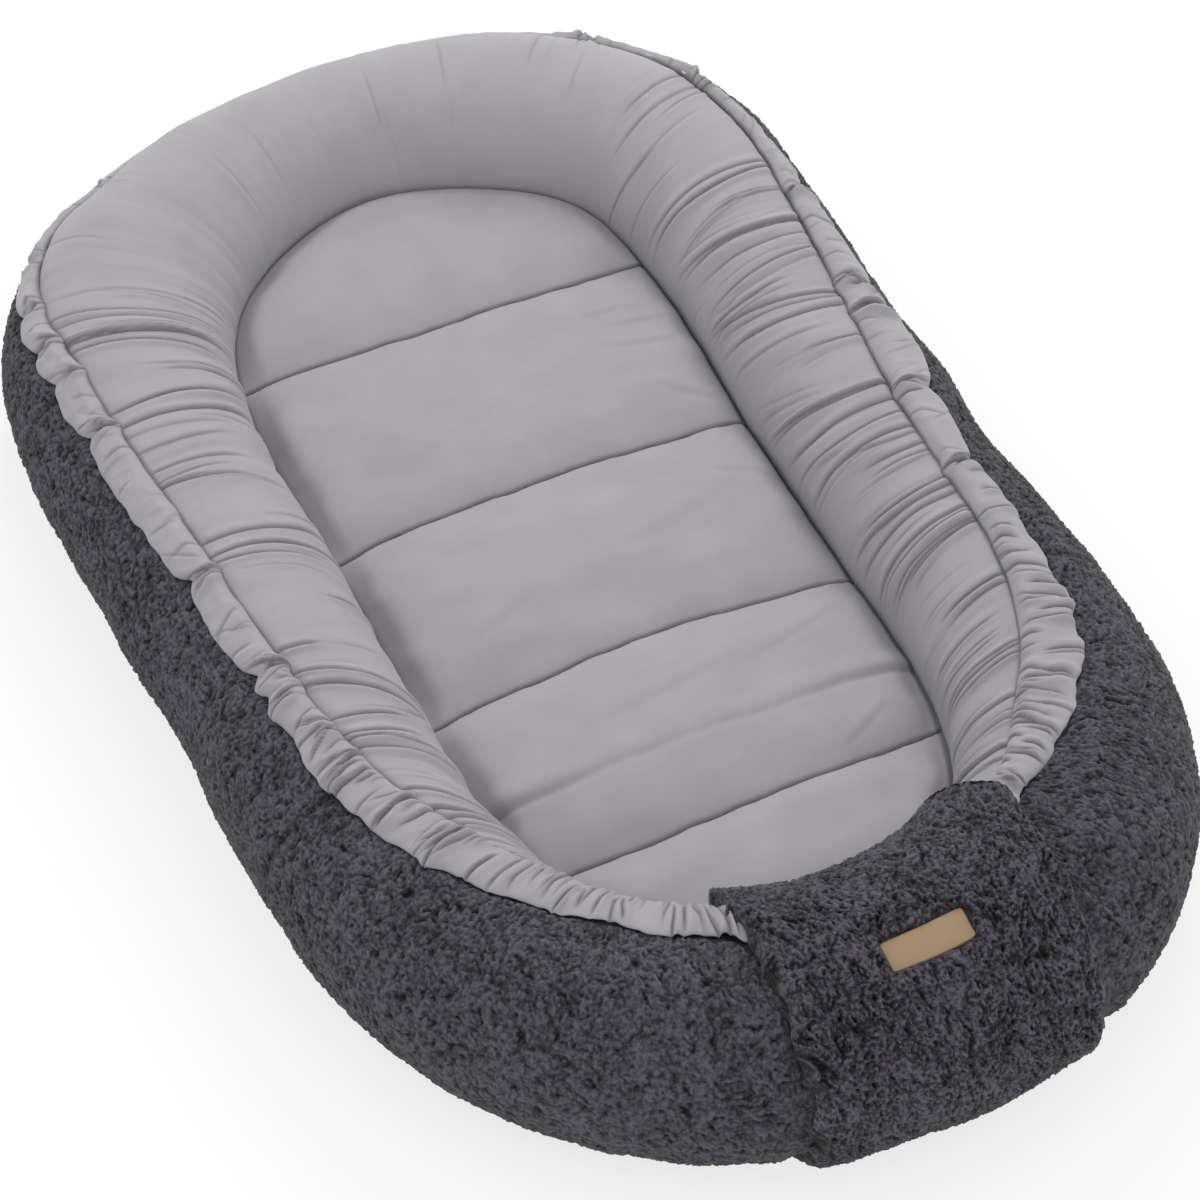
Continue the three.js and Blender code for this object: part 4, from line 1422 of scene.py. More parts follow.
@dataclass
class Quilt:
    """The quilted cotton top of the mattress, sewn into five channels.

    pitch: The spacing of its seams, which run across it.
    head_seam: How far the last seam lies from the bolster's middle.
    seam_shifts, seam_tilts, seam_bows: How each seam departs from its place, its direction and a line.
    edge_places: Places along its border, from -1 at the foot to 1 at the head.
    edge_heights: The border's heights there, in millimetres.
    folds_mm: Soft folds, each by its two ends' x and y, its depth and its width, in millimetres.
    """

    bolster: Bolster
    pitch: float = 145 * MM
    head_seam: float = 214 * MM
    seam_shifts: tuple = (10 * MM, 0, 0, 7 * MM)
    seam_tilts: tuple = (0.044, 0.024, 0.027, 0.003)
    seam_bows: tuple = (-2 * MM, 6.5 * MM, 4 * MM, -2 * MM)
    edge_places: tuple = (-1, -0.65, -0.45, -0.3, -0.1, 0.3, 0.6, 0.8, 1)
    edge_heights: tuple = (60, 54, 50, 45, 41, 40, 45, 56, 64)
    seam_height: float = 50 * MM
    seam_sag: float = 6 * MM
    seam_reach: float = 10 * MM
    side_reach: float = 24 * MM
    head_reach: float = 10 * MM
    rise: float = 13.0 * MM
    groove: float = 2.4 * MM
    folds_mm: tuple = (
        (-100, 265, -30, 285, 0.9, 7), (98, 176, 128, 170, 1.6, 4), (92, 158, 126, 148, 1.3, 4),
        (86, 190, 112, 188, 1.0, 3), (104, 116, 130, 96, 1.8, 5), (100, 40, 128, 22, 1.5, 5),
        (-60, 120, 10, 132, 0.8, 8), (30, 0, 100, 14, 0.9, 8), (-90, -30, -40, -16, 0.8, 6),
        (60, -110, 118, -96, 1.1, 5), (-40, -120, 40, -112, 0.8, 6), (80, -190, 112, -176, 1.2, 4),
    )
    foot_room: float = 30 * MM
    head_room: float = 20 * MM
    liner_lift: float = 2.3 * MM
    under_roll: float = 1.6 * MM
    head_under: float = 2.6
    crease_place: float = -151 * MM
    fine_step: float = 0.8 * MM
    step: float = 1.9 * MM
    seed: int = 41

    def outline(self) -> tuple[Array, ...]:
        """The space inside the bolster.

        Returns:
            Places along it, its left and right edges there, and points of its border.
        """
        distance = np.linspace(0.002, self.bolster.length / 2 - 0.0005, 1500)
        lines = []
        for side in (Side.LEFT, Side.RIGHT):
            arcs = self.bolster.arc_from_foot(side, distance)
            at_head = smooth_step(0.5, 0.8, self.bolster.place(arcs))
            under = self.under_roll * (1.0 + self.head_under * at_head)
            edge = self.bolster.point(arcs, -90.0, self.liner_lift - under)
            keep = np.r_[True, np.diff(np.maximum.accumulate(edge[:, 1])) > 0]
            lines.append(edge[keep])
        y = np.linspace(max(line[0, 1] for line in lines), min(line[-1, 1] for line in lines), 1500)
        left, right = (np.interp(y, line[:, 1], line[:, 0]) for line in lines)
        return y, np.minimum(left, right), np.maximum(left, right), np.concatenate(lines)[::4, :2]

    def seam_lines(self, x: Array) -> Array:
        """The quilt's seams.

        Args:
            x: Places across the mattress.

        Returns:
            The seams' places along it, from foot to head, on a new last axis.
        """
        head = self.bolster.middle + self.bolster.shift + self.head_seam
        count = len(self.seam_shifts)
        places = head - self.pitch * np.arange(count)[::-1] + np.array(self.seam_shifts)
        bow = np.array(self.seam_bows) * (1.0 - (x[..., None] / (130 * MM)) ** 2)
        return places + np.array(self.seam_tilts) * x[..., None] + bow

    def rows(self, low: float, high: float) -> Array:
        """The rows of the quilt's grid, closer together near the seams.

        Args:
            low, high: The first and the last place along the mattress.

        Returns:
            The places.
        """
        fine = np.linspace(low, high, 6000)
        seams = self.seam_lines(np.zeros(1))[0]
        away = np.abs(fine[:, None] - seams).min(axis=1)
        near = 1.0 - smooth_step(10 * MM, 18 * MM, away)
        pace = 1.0 / self.step + (1.0 / self.fine_step - 1.0 / self.step) * near
        count = np.r_[0.0, np.cumsum((pace[1:] + pace[:-1]) / 2 * np.diff(fine))]
        return np.interp(np.linspace(0.0, count[-1], int(count[-1])), count, fine)

    def build(self) -> bpy.types.Object:
        """Make the quilt and dress it.

        Returns:
            The piece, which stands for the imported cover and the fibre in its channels.
        """
        outline = self.outline()
        y = self.rows(outline[0][0] + 0.5 * MM, outline[0][-1] - 0.3 * MM)
        left, right = (np.interp(y, outline[0], edge) for edge in outline[1:3])
        share = np.linspace(-1.0, 1.0, int((right - left).max() / self.step) + 10)
        share = np.sign(share) * (1.0 - (1.0 - np.abs(share)) ** 1.15)
        x = (left + right)[None, :] / 2 + share[:, None] * (right - left)[None, :] / 2
        y = y[None, :] + 0 * x
        height, painted_shade_and_wear = self.heights(x, y, outline)
        points = np.stack([x, y, height], axis=-1)
        piece = cloth_object("mattress_quilt", [Patch(points, paired(y, x), {"painted_shade_and_wear": painted_shade_and_wear})])
        settle(piece, COTTON, ("mattress_cover", *self.fillings()), Body.ROOT)
        return piece

    def fillings(self) -> list[str]:
        """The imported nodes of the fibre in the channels."""
        return [f"channel_filling_{k + 1}" for k in range(len(self.seam_shifts) + 1)]

    def border_distance(self, x: Array, y: Array, outline: tuple[Array, ...]) -> Array:
        """The distance to the nearest border point, worked out a few rows at a time.

        Args:
            x, y: The places.
            outline: The mattress's outline.

        Returns:
            The distances.
        """
        distance = np.empty_like(x)
        for start in range(0, len(x), 16):
            part = slice(start, start + 16)
            gap = np.hypot(x[part, :, None] - outline[3][:, 0], y[part, :, None] - outline[3][:, 1])
            distance[part] = gap.min(axis=-1)
        return distance

    def fold_relief(self, x: Array, y: Array) -> Array:
        """The soft folds, each a ridge beside a shallow valley along a straight line.

        Args:
            x, y: The places.

        Returns:
            Heights over the quilt.
        """
        height = np.zeros_like(x)
        for x0, y0, x1, y1, depth, width in np.array(self.folds_mm) * MM:
            length = math.hypot(x1 - x0, y1 - y0)
            along = ((x - x0) * (x1 - x0) + (y - y0) * (y1 - y0)) / length
            away = ((y - y0) * (x1 - x0) - (x - x0) * (y1 - y0)) / length - 0.08 * along**2 / length
            fade = smooth_step(-0.4 * length, 0.3 * length, along)
            fade = fade * smooth_step(1.3 * length, 0.7 * length, along)
            height += depth * fade * (0.6 * bump(away - width, width) - 0.5 * bump(away, 0.55 * width))
        return height

    def channels(self, x: Array, along: Array, places: Array) -> tuple[Array, ...]:
        """Which channel each point lies in.

        Args:
            x, along: The points' places across and along the mattress.
            places: The outline's places along it, rising.

        Returns:
            The channel's number, the share of the way across it, the distance to the nearer seam, and
            whether the point lies in the outer half of an end channel, which has no seam there.
        """
        stops = np.concatenate([
            np.full(x.shape + (1,), places[0] - self.foot_room), self.seam_lines(x),
            np.full(x.shape + (1,), places[-1] + self.head_room),
        ], axis=-1)
        last = stops.shape[-1] - 2
        channel = np.clip((along[..., None] > stops).sum(axis=-1) - 1, 0, last)
        low = np.take_along_axis(stops, channel[..., None], axis=-1)[..., 0]
        high = np.take_along_axis(stops, channel[..., None] + 1, axis=-1)[..., 0]
        t = np.clip((along - low) / (high - low), 0.0, 1.0)
        to_seam = np.minimum(np.abs(along - low), np.abs(high - along))
        is_end = (channel == 0) & (t < 0.5) | (channel == last) & (t > 0.5)
        return channel, t, np.where(is_end, 1.0, to_seam), is_end

    def heights(self, x: Array, y: Array, outline: tuple[Array, ...]) -> tuple[Array, Array]:
        """The quilt's height and its painted shade.

        A channel's height over its seams is (1 - |2 t - 1|^2.4)^0.75, with t the share of the way from
        seam to seam, times b / (1 + b^6)^(1/6), with b the distance from the border over its reach.

        Args:
            x, y: The places.
            outline: The mattress's outline.

        Returns:
            Heights, and painted shade values from 0 in a seam to 1.
        """
        soft, pucker, wave = Noise(self.seed), Noise(self.seed + 1), Noise(self.seed + 2)
        place = (y - self.bolster.shift - self.bolster.middle) / self.bolster.reach
        border = self.border_distance(x, y, outline)
        border -= self.under_roll * self.head_under * smooth_step(0.5, 0.8, place)
        wander = 1.2 * MM * wave.at(x / 0.045) + 0.5 * MM * wave.at(x / 0.016, 7.0)
        along = y + wander
        channel, t, to_seam, is_end = self.channels(x, along, outline[0])
        pillow = (1.0 - np.abs(2.0 * t - 1.0) ** 2.4) ** 0.75
        pillow = np.where(is_end, np.maximum(pillow, 0.97), pillow)
        edge = curve_through(self.edge_places, np.array(self.edge_heights) * MM, np.clip(place, -1.0, 1.0))
        seam_level = self.seam_height - self.seam_sag * np.clip(x / 0.13, -1.0, 1.0) ** 2
        at_head = smooth_step(0.62, 0.85, place)
        dome = 1.0 - (1.0 - np.clip(border / (self.seam_reach * (1.0 + 3.0 * at_head)), 0.0, 1.0)) ** 2.0
        reach = self.side_reach * (1.0 - 0.3 * smooth_step(-0.05, 0.05, x))
        reach += (self.head_reach - reach) * smooth_step(0.62, 0.9, place)
        from_border = border / (reach * (1.0 + 0.2 * soft.at(x / 0.05 + 3, y / 0.018)))
        shoulder = from_border / (1.0 + from_border**6) ** (1 / 6)
        height = edge + (seam_level - edge) * dome + self.rise * pillow * shoulder
        height += 1.8 * MM * soft.at(x / 0.07, y / 0.030) * np.clip(shoulder, 0.0, 1.0)
        height += 0.30 * MM * soft.at(x / 0.030 + 9, y / 0.012) + self.fold_relief(x, y)
        puckers = pucker.at(x / 0.0085, channel * 5.0 + 0.3) * np.exp(-to_seam / (10 * MM))
        height += 0.9 * MM * puckers * (0.4 + 0.6 * bump(border, 45 * MM))
        beside = along - self.crease_place - 2.5 * wander - 0.03 * x
        strength = 0.25 + 0.75 * bump(border, 70 * MM)
        crease = bump(beside, 2.4 * MM) * strength
        height += (1.6 * MM * bump(beside - 8 * MM, 8 * MM) - 2.4 * MM * bump(beside, 3.0 * MM)) * strength
        groove = bump(to_seam, 1.0 * MM)
        tucked = 1.0 - smooth_step(3.0 * MM, 6.5 * MM, border)
        height -= self.groove * groove + 2.5 * MM * tucked
        # painted shade: a dark band on each channel's end by the roll, stronger on the left
        side = 0.12 + 0.33 * smooth_step(30 * MM, -30 * MM, x)
        painted_flank_shade = side * np.sqrt(pillow) * smooth_step(1.0, 0.6, from_border)
        # painted shade in the seams' grooves, in the crease and in a dark line where the quilt tucks under
        # the roll
        return height, np.clip(1.0 - groove - 0.3 * crease - 0.9 * tucked - painted_flank_shade, 0.0, 1.0)


@dataclass
class Underside:
    """The cloth underside, on which the bolster and the mattress lie."""

    bolster: Bolster
    reach_share: float = 0.42
    end_reach: float = 170 * MM
    middle_height: float = 1.5 * MM
    thickness: float = 2.2 * MM
    columns: int = 360
    rows: int = 90

    def build(self) -> bpy.types.Object:
        """Make the underside as a thin plate with a rounded edge.

        Returns:
            The piece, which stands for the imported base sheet.
        """
        arcs = np.linspace(0.0, self.bolster.length, self.columns + 1)[:-1]
        place = self.bolster.place(arcs)
        out = self.bolster.half_width * self.bolster.size(place) * self.reach_share
        middle = self.bolster.point(arcs, 0.0, 0.0)
        outer = self.bolster.point(arcs, 90.0, 0.0)
        normal = (outer - middle)[:, :2] / np.linalg.norm((outer - middle)[:, :2], axis=1)[:, None]
        border = middle[:, :2] + normal * out[:, None]
        spine_reach = self.bolster.reach - self.end_reach
        spine = np.stack([0 * arcs, np.clip(border[:, 1], -spine_reach, spine_reach)], axis=-1)
        share = np.linspace(0.0, 1.0, self.rows)[:, None, None]
        plan = spine[None] + (border - spine)[None] * share
        wrinkle = Noise(51).at(plan[..., 0] / 0.03, plan[..., 1] / 0.05)
        edge = np.sqrt(np.clip(1.0 - share[..., 0] ** 60, 0.0, 1.0))
        top = self.middle_height + (self.thickness / 2) * edge
        low = self.middle_height - (self.thickness / 2) * edge + 0.35 * MM * (wrinkle + 1.0) * edge
        painted_shade_and_wear = np.full(top.shape[:1] + (self.columns,), 1.0)
        patches = []
        for height, order in ((top + 0 * wrinkle, 1), (low, -1)):
            points = np.concatenate([plan, height[..., None]], axis=-1)[::order]
            cloth = np.concatenate([points[..., :2], points[:, :1, :2]], axis=1)
            patches.append(Patch(points, cloth, {"painted_shade_and_wear": painted_shade_and_wear}, closed=True))
        piece = cloth_object("underside_cloth", patches)
        settle(piece, LINING, ("base_sheet",), Body.ROOT)
        return piece


# Foot


@dataclass
class BolsterEnd:
    """A sewn-up end of the bolster's tube: a domed cotton cap, puckered round its middle."""

    bolster: Bolster
    side: Side
    reach: float = 36.3 * MM
    start: float = 44.3 * MM
    base_lift: float = 2.2 * MM
    puckers: int = 22
    pucker_depth: float = 3.4 * MM
    least_height: float = 3.4 * MM
    rows: int = 60
    columns: int = 360

    def build(self) -> bpy.types.Object:
        """Make the cap and dress it.

        Returns:
            The piece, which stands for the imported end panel.
        """
        arc = float(self.bolster.arc_from_foot(self.side, self.start))
        turn = np.linspace(-0.06, math.pi / 2 * 0.985, self.rows)[:, None]
        angle = np.linspace(-180.0, 180.0, self.columns + 1)[None, :-1]
        near_middle = np.clip(turn / (math.pi / 2), 0.0, 1.0)
        phase = 0.9 * Noise(61).at(angle / 31.0, near_middle * 2.0)
        pucker = np.abs(np.cos(np.radians(angle) * self.puckers / 2 + phase * 2.0))
        depth = self.pucker_depth * smooth_step(0.25, 0.75, near_middle)
        depth = depth * (1.0 - 0.7 * smooth_step(0.85, 1.0, near_middle))
        lift = self.base_lift + depth * (pucker - 0.6)
        shell = self.bolster.point(arc, angle + 0 * turn, lift)
        axis = self.bolster.point(arc, 0.0, 0.0) * [1, 1, 0]
        axis[2] = self.bolster.centre_height * float(self.bolster.size(self.bolster.place(arc)))
        next_arc = arc - self.side.value * 1.0 * MM
        ahead = self.bolster.point(next_arc, 0.0, 0.0) - self.bolster.point(arc, 0.0, 0.0)
        ahead = ahead * [1, 1, 0] / np.linalg.norm(ahead[:2])
        points = axis + (shell - axis) * np.cos(turn)[..., None]
        points = points + ahead * ((self.reach - 1.5 * MM) * np.sin(turn))[..., None]
        points[..., 2] = np.maximum(points[..., 2], self.least_height)
        order = 1 if self.side is Side.RIGHT else -1
        radius = self.bolster.half_width * np.cos(turn)
        cloth = paired(np.radians(np.r_[angle[0], 180.0])[None, :] * self.bolster.half_width, radius)
        # painted shade in the puckers' troughs round the cap's middle
        painted_shade_and_wear = np.clip(0.3 + pucker, 0.0, 1.0) * smooth_step(0.2, 0.6, near_middle)
        painted_shade_and_wear = painted_shade_and_wear + (1.0 - smooth_step(0.2, 0.6, near_middle)) + 0 * angle
        patch = Patch(points[::order], cloth[::order], {"painted_shade_and_wear": painted_shade_and_wear[::order]}, closed=True)
        name = self.side.name.lower()
        piece = cloth_object(f"bolster_end_{name}", [patch])
        settle(piece, COTTON, (f"end_panel_{name}",), Body.ROOT)
        return piece


@dataclass
class FootFlap:
    """The teddy flap that wraps over the bolster's ends, with its lining."""

    bolster: Bolster
    offset: float = 21 * MM
    half_width: float = 92 * MM
    tip_half_width: float = 65 * MM
    patch_offset: float = 18 * MM
    patch_turn: float = 2.0
    tip_angle: float = -84.0
    taper_angle: float = -45.0
    skirt_angle: float = 150.0
    lining_lift: float = 6.3 * MM
    lining_inset: float = 4.0 * MM
    pile_lift: float = 7.9 * MM
    edge_lift: float = 2.5 * MM
    body: float = 5.0 * MM
    pile_height: float = 6.2 * MM
    edge: float = 9.0 * MM
    foot_zone: float = 140 * MM
    step: float = 0.95 * MM
    hug: float = 3.0 * MM
    tuft: tuple = (1.2 * MM, 4.2 * MM)
    flow: float = 0.0
    swirl: float = 1.0
    tip_wave: float = 5.0 * MM
    raggedness: float = 3.2 * MM
    floor_gap: float = 0.6 * MM
    patch_angle: float = 16.0
    patch_size: tuple = (55 * MM, 21 * MM)
    seed: int = 71

    def point(self, x: Array, angle: Array, lift: Array | float) -> Array:
        """Points over the bolster's foot, found by halving the arcs between.

        Args:
            x: Places across the foot.
            angle: Roll angles in degrees.
            lift: Heights above the filling.

        Returns:
            The points, with a last axis of 3.
        """
        x, angle, lift = np.broadcast_arrays(x, angle, lift)
        low, high = np.full(x.shape, -self.foot_zone), np.full(x.shape, self.foot_zone)
        for _ in range(22):
            middle = (low + high) / 2
            is_short = self.bolster.point(middle, angle, lift)[..., 0] < x
            low, high = np.where(is_short, middle, low), np.where(is_short, high, middle)
        return self.bolster.point((low + high) / 2, angle, lift)

    def half_width_at(self, angle: Array) -> Array:
        """Half the flap's width: it narrows in a rounded line towards the tip."""
        share = np.clip((angle - self.taper_angle) / (self.tip_angle - self.taper_angle), 0.0, 1.0)
        return self.half_width + (self.tip_half_width - self.half_width) * share**2

    def blend(self, piece: bpy.types.Object) -> None:
        """Bake a piece's placement into its points and log how many points it has.

        Args:
            piece: The piece.
        """
        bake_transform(piece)
        LOG.info("%s: %d points", piece.name, len(piece.data.vertices))

    def spread(self, length: float, step: float) -> Array:
        """Places from one edge to the other, closer together near both edges.

        Args:
            length: The distance between the edges.
            step: The spacing between them.

        Returns:
            Distances from the first edge.
        """
        turns = np.linspace(0.0, math.pi / 2, 15)[:-1]
        rounded = self.edge * (1.0 - np.cos(turns))
        inside = np.linspace(self.edge, length - self.edge, int((length - 2 * self.edge) / step))
        return np.r_[rounded, inside, length - rounded[::-1]]

    def edge_height(self, distance: Array) -> Array:
        """A quarter circle's height, from 0 at the edge to 1 at the edge's radius."""
        return np.sqrt(np.clip(1.0 - (1.0 - np.clip(distance / self.edge, 0, 1)) ** 2, 0, 1))

    def build(self) -> list[bpy.types.Object]:
        """Make the flap's teddy and its lining.

        Returns:
            The two pieces.
        """
        return [self.build_pile(), self.build_lining()]

    def build_pile(self) -> bpy.types.Object:
        """Make the teddy side and dress it.

        Returns:
            The piece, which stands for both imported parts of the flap.
        """
        radius = self.bolster.half_height * float(self.bolster.size(-1.0)) + self.pile_lift + self.body
        length = math.radians(self.skirt_angle - self.tip_angle) * radius
        down = self.spread(length, self.step)
        across = self.spread(2 * self.half_width, self.step)
        angle = self.tip_angle + np.degrees(down / radius)[:, None]
        share = across[None, :] / self.half_width - 1.0
        at_tip = 1.0 - smooth_step(0.0, 30 * MM, down)
        wave = Noise(self.seed + 8).at(across / 0.028)[None, :] * at_tip[:, None]
        angle = angle + np.degrees(self.tip_wave * wave / radius)
        ragged = Noise(self.seed + 5).at(down[:, None] / 0.011, 3.0 + np.sign(share))
        x = self.offset + share * (self.half_width_at(angle) + self.raggedness * ragged * np.abs(share) ** 6)
        tufts = TuftField(length, 2 * self.half_width, self.tuft, self.flow, self.swirl, self.seed)
        pile = tufts.at(down[:, None] + 0 * x, across[None, :] + 0 * x)
        side = np.minimum(across, 2 * self.half_width - across)[None, :]
        end = np.minimum(down, length - down)[:, None]
        rim = self.edge_height(side) * self.edge_height(end)
        pressed = self.under_patch(x, angle, radius)
        swell = Noise(self.seed + 3).at(down[:, None] / 0.05, across[None, :] / 0.05)
        wall = np.sqrt(smooth_step(-0.3 * MM, 3.5 * MM, np.minimum(side, end)))
        low = smooth_step(95.0, 140.0, angle)
        hugged = self.pile_lift - self.hug * smooth_step(85.0, 125.0, angle)
        edge_lift = self.edge_lift - 4.5 * MM * smooth_step(95.0, 130.0, angle)
        lift = edge_lift + (hugged - edge_lift) * wall
        lift += rim * (self.body * (1.0 - 0.8 * low) + 1.2 * MM * swell)
        lift += (0.4 + 0.6 * wall) * (1.0 - 0.3 * low) * self.pile_height * pile * (1.0 - 0.85 * pressed)
        points = self.point(x, angle, lift)
        points[..., 2] = np.maximum(points[..., 2], self.floor_gap)
        cloth = paired(across[None, :] + 0 * x, down[:, None])
        # painted shade: the pile reads lower, so darker, under the leather patch
        patch = Patch(points, cloth, {"pile": pile * (1.0 - 0.4 * pressed)})
        piece = cloth_object("flap_teddy", [patch])
        WARDROBE.dress(piece, FLAP_TEDDY_SHADED)
        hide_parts("flap_tongue", "flap_base")
        self.blend(piece)
        return piece

    def under_patch(self, x: Array, angle: Array, radius: float) -> Array:
        """Where the leather patch presses the pile.

        Args:
            x: Places across the foot.
            angle: Roll angles in degrees.
            radius: The radius of the pile's foot.

        Returns:
            1 under the patch and 0 away from it.
        """
        width, height = self.patch_size
        across = smooth_step(width / 2 + 2 * MM, width / 2 - 1 * MM, np.abs(x - self.patch_offset))
        down = np.abs(np.radians(angle - self.patch_angle)) * radius
        return across * smooth_step(height / 2 + 2 * MM, height / 2 - 1 * MM, down)

    def build_lining(self) -> bpy.types.Object:
        """Make the smooth dark lining under the teddy and dress it.

        Returns:
            The piece, which stands for both packed linings.
        """
        angle = np.linspace(self.tip_angle + 6.0, self.skirt_angle - 25.0, 150)[:, None]
        share = np.linspace(-1.0, 1.0, 96)[None, :]
        inset = self.lining_inset + 8.0 * MM * smooth_step(80.0, 110.0, angle)
        x = self.offset + share * (self.half_width_at(angle) - inset)
        ripple = Noise(self.seed + 7).at(angle / 9.0, share * 4.0)
        patches = []
        hug = self.hug * smooth_step(85.0, 125.0, angle)
        for lift, order in ((self.lining_lift + 1.3 * MM, 1), (self.lining_lift + 0.35 * MM * ripple, -1)):
            points = self.point(x, angle, lift - hug)[::order]
            # painted shade: darker where the ripple noise is low, following the underside's ripple
            painted_shade_and_wear = np.clip(0.8 + 0.3 * ripple, 0, 1)[::order]
            patches.append(Patch(points, grid_cloth(points), {"painted_shade_and_wear": painted_shade_and_wear}))
        piece = cloth_object("flap_lining_cloth", patches)
        WARDROBE.dress(piece, LINING)
        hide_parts("flap_tongue_lining", "flap_base_lining")
        self.blend(piece)
        return piece


@dataclass
class LeatherPatch:
    """The bare leatherette patch on the flap's shoulder."""

    flap: FootFlap
    lift: float = 14.2 * MM
    thickness: float = 1.5 * MM
    corner: float = 2.2 * MM
    rows: int = 44
    columns: int = 110

    def build(self) -> bpy.types.Object:
        """Make the patch as a thin slab with rounded corners and edges.

        Returns:
            The piece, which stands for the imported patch.
        """
        width, height = self.flap.patch_size
        a = np.sin(np.linspace(-1, 1, self.columns) * math.pi / 2)[None, :]
        b = np.sin(np.linspace(-1, 1, self.rows) * math.pi / 2)[:, None]
        pull = 1.0 - self.corner / height * 1.1 * (np.abs(a) ** 10 * np.abs(b) ** 3)
        across = a * width / 2 * (1.0 - self.corner / width * 1.1 * (np.abs(b) ** 10 * np.abs(a) ** 3))
        down = b * height / 2 * pull
        radius = self.flap.bolster.half_height * float(self.flap.bolster.size(-1.0)) + self.lift
        turn = math.radians(self.flap.patch_turn)
        beside = across * math.cos(turn) + down * math.sin(turn)
        below = down * math.cos(turn) - across * math.sin(turn)
        angle = self.flap.patch_angle + np.degrees(below / radius)
        inset = np.minimum((1 - np.abs(a)) * width / 2, (1 - np.abs(b)) * height / 2)
        edge = np.sqrt(np.clip(1.0 - (1.0 - np.clip(inset / (0.9 * MM), 0, 1)) ** 2, 0, 1))
        sag = Noise(81).at(across / 0.015, down / 0.012)
        lift = self.lift - 0.9 * MM * (np.abs(across) / (width / 2)) ** 2 + 0.3 * MM * sag
        worn = np.clip(inset / (1.6 * MM), 0.0, 1.0)
        patches = []
        for rise, order in ((edge, 1), (-edge, -1)):
            points = self.flap.point(self.flap.patch_offset + beside, angle, lift + rise * self.thickness / 2)
            patches.append(Patch(points[::order], paired(across, down)[::order], {"painted_shade_and_wear": worn[::order]}))
        piece = cloth_object("leather_patch_bare", patches)
        settle(piece, LEATHER, ("leather_patch",), Body.FLAP)
        return piece


# Room


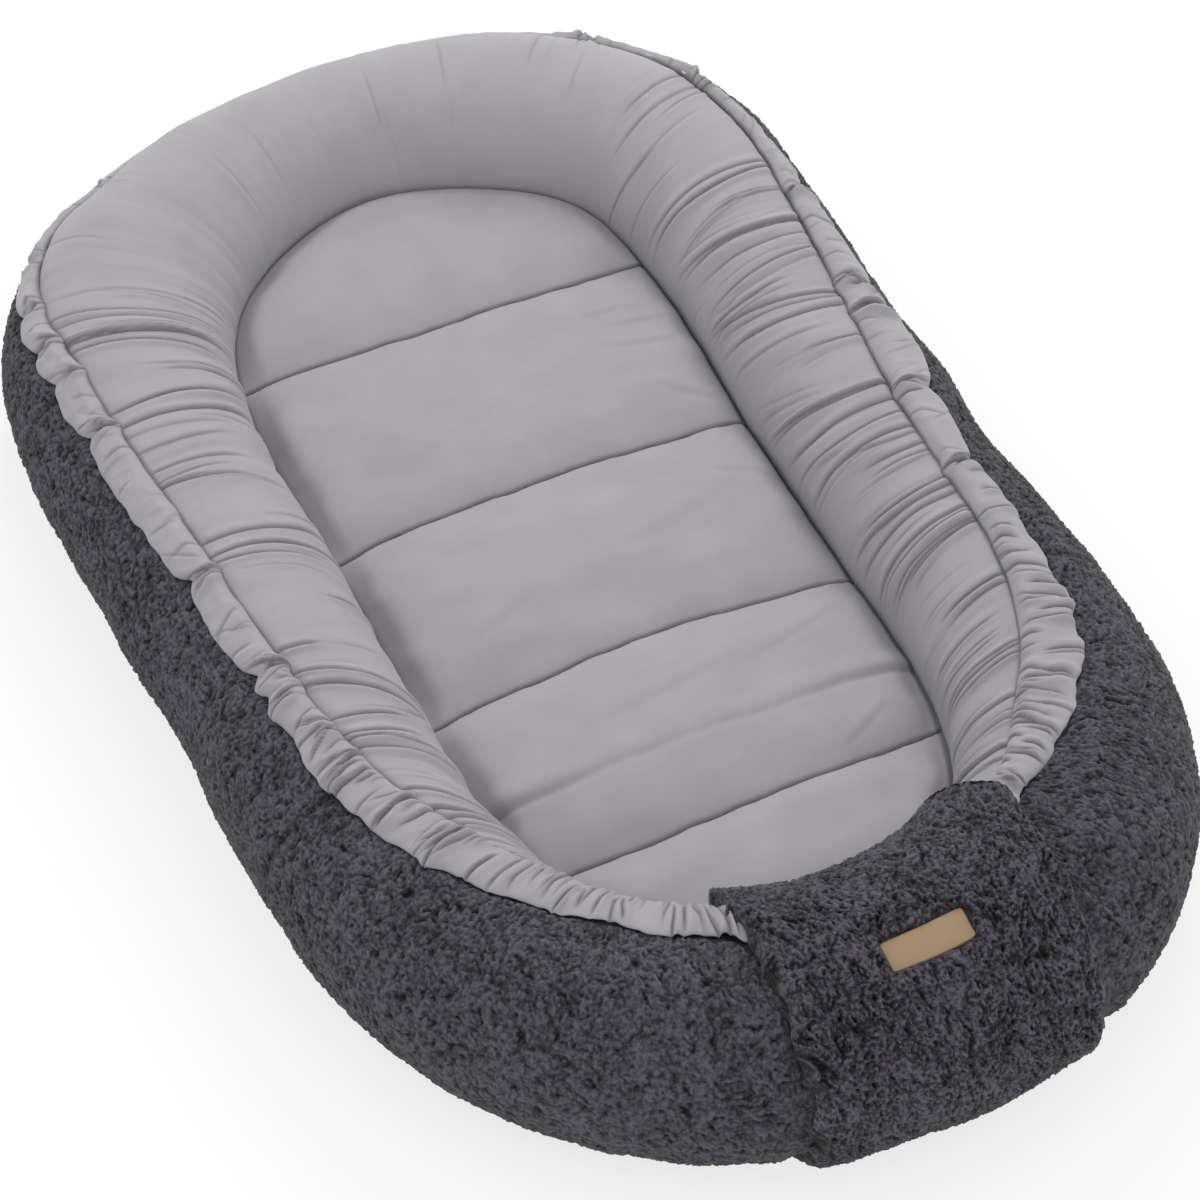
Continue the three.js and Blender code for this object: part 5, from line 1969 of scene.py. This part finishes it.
@dataclass
class Studio:
    """A pale floor, soft light and a camera at the photograph's viewing angle."""

    azimuth: float = -25.5
    elevation: float = 47.27
    roll: float = 0.63
    distance: float = 4.2
    lens: float = 212.04
    aim: tuple = (-8.2 * MM, -31.9 * MM, 60 * MM)
    floor_reach: float = 6.0
    floor_glow: float = 0.75
    lamp_place: tuple = (1.1, 2.3, 1.8)
    lamp_aim: tuple = (0.0, 0.0, 50 * MM)
    lamp_size: float = 1.2
    lamp_power: float = 32.0

    def build(self, shift: float) -> None:
        """Make the room.

        Args:
            shift: How far the bolster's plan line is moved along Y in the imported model.
        """
        self.build_floor()
        self.build_light()
        self.build_camera(shift)

    def build_floor(self) -> None:
        """A wide pale floor, which the camera sees nearly white with a faint shadow."""
        x = np.linspace(-self.floor_reach, self.floor_reach, 3)
        points = np.stack(np.meshgrid(x, x, [0.0], indexing="ij"), axis=-1)[:, :, 0]
        floor = cloth_object("floor", [Patch(points, points[..., :2])])
        nodes = NodeTree("pale_floor")
        nodes.shader.inputs["Base Color"].default_value = linear((0.97, 0.97, 0.97))
        nodes.shader.inputs["Roughness"].default_value = 0.9
        nodes.shader.inputs["Specular IOR Level"].default_value = 0.1
        glow, mixed = nodes.add("Emission", Strength=1.0), nodes.add("MixShader")
        seen = nodes.sum("MULTIPLY", nodes.add("LightPath").outputs["Is Camera Ray"], self.floor_glow)
        nodes.join(seen, mixed.inputs["Fac"])
        nodes.join(nodes.shader.outputs["BSDF"], mixed.inputs[1])
        nodes.join(glow.outputs["Emission"], mixed.inputs[2])
        nodes.join(mixed.outputs["Shader"], nodes.tree.nodes["Material Output"].inputs["Surface"])
        floor.data.materials.append(nodes.material)

    def build_light(self) -> None:
        """An even white world and one large lamp beyond the head, on the right."""
        world = bpy.data.worlds.new("studio")
        world.use_nodes = True
        bpy.context.scene.world = world
        back = world.node_tree.nodes["Background"]
        back.inputs["Color"].default_value = WHITE
        back.inputs["Strength"].default_value = 1.0
        lamp = bpy.data.lights.new("lamp", "AREA")
        lamp.shape, lamp.size, lamp.energy = "DISK", self.lamp_size, self.lamp_power
        holder = bpy.data.objects.new("lamp", lamp)
        holder.matrix_world = self.looking(self.lamp_place, self.lamp_aim, 0.0)
        bpy.context.scene.collection.objects.link(holder)

    @staticmethod
    def looking(place: tuple, target: tuple, roll: float) -> Matrix:
        """The matrix of a camera or lamp.

        Args:
            place: Where it is.
            target: What it looks at.
            roll: Its turn about its axis, in radians.

        Returns:
            Its world matrix.
        """
        back = np.subtract(place, target)
        back = back / np.linalg.norm(back)
        right = np.cross([0.0, 0.0, 1.0], back)
        right = right / np.linalg.norm(right)
        up = np.cross(back, right)
        cos, sin = math.cos(roll), math.sin(roll)
        axes = np.eye(4)
        axes[:3, 0], axes[:3, 1] = cos * right + sin * up, cos * up - sin * right
        axes[:3, 2], axes[:3, 3] = back, place
        return Matrix(axes.tolist())

    def build_camera(self, shift: float) -> None:
        """Make the camera, which looks at its aim.

        Args:
            shift: How far the aim is moved along Y, as the plan line is.
        """
        azimuth, elevation = math.radians(self.azimuth), math.radians(self.elevation)
        level = math.cos(elevation)
        back = np.array([math.sin(azimuth) * level, -math.cos(azimuth) * level, math.sin(elevation)])
        target = np.array(self.aim) + [0.0, shift, 0.0]
        data = bpy.data.cameras.new("camera")
        data.lens, data.sensor_width = self.lens, 36.0
        camera = bpy.data.objects.new("camera", data)
        place = tuple(target + back * self.distance)
        camera.matrix_world = self.looking(place, tuple(target), math.radians(self.roll))
        bpy.context.scene.collection.objects.link(camera)
        bpy.context.scene.camera = camera


def dress_hidden_nodes() -> None:
    """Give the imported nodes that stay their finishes."""
    finishes = {"mattress_core": FOAM, "loop_tape": TAPE, "hook_tape": TAPE}
    for name, finish in finishes.items():
        WARDROBE.dress(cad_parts[name], finish)


def main() -> None:
    """Build the nest piece by piece."""
    logging.basicConfig(level=logging.INFO, format="%(message)s")
    scene = bpy.context.scene
    scene.view_settings.view_transform = "Standard"
    bolster = Bolster()
    LOG.info("plan line %.1f mm, shift %.2f mm", bolster.length / MM, bolster.shift / MM)
    Studio().build(bolster.shift)
    Underside(bolster).build()
    Quilt(bolster).build()
    Liner(bolster).build()
    TeddyCover(bolster).build()
    for side in Side:
        BolsterEnd(bolster, side).build()
    RimCasing(bolster).build()
    flap = FootFlap(bolster)
    flap.build()
    LeatherPatch(flap).build()
    dress_hidden_nodes()


if __name__ == "__main__":
    main()
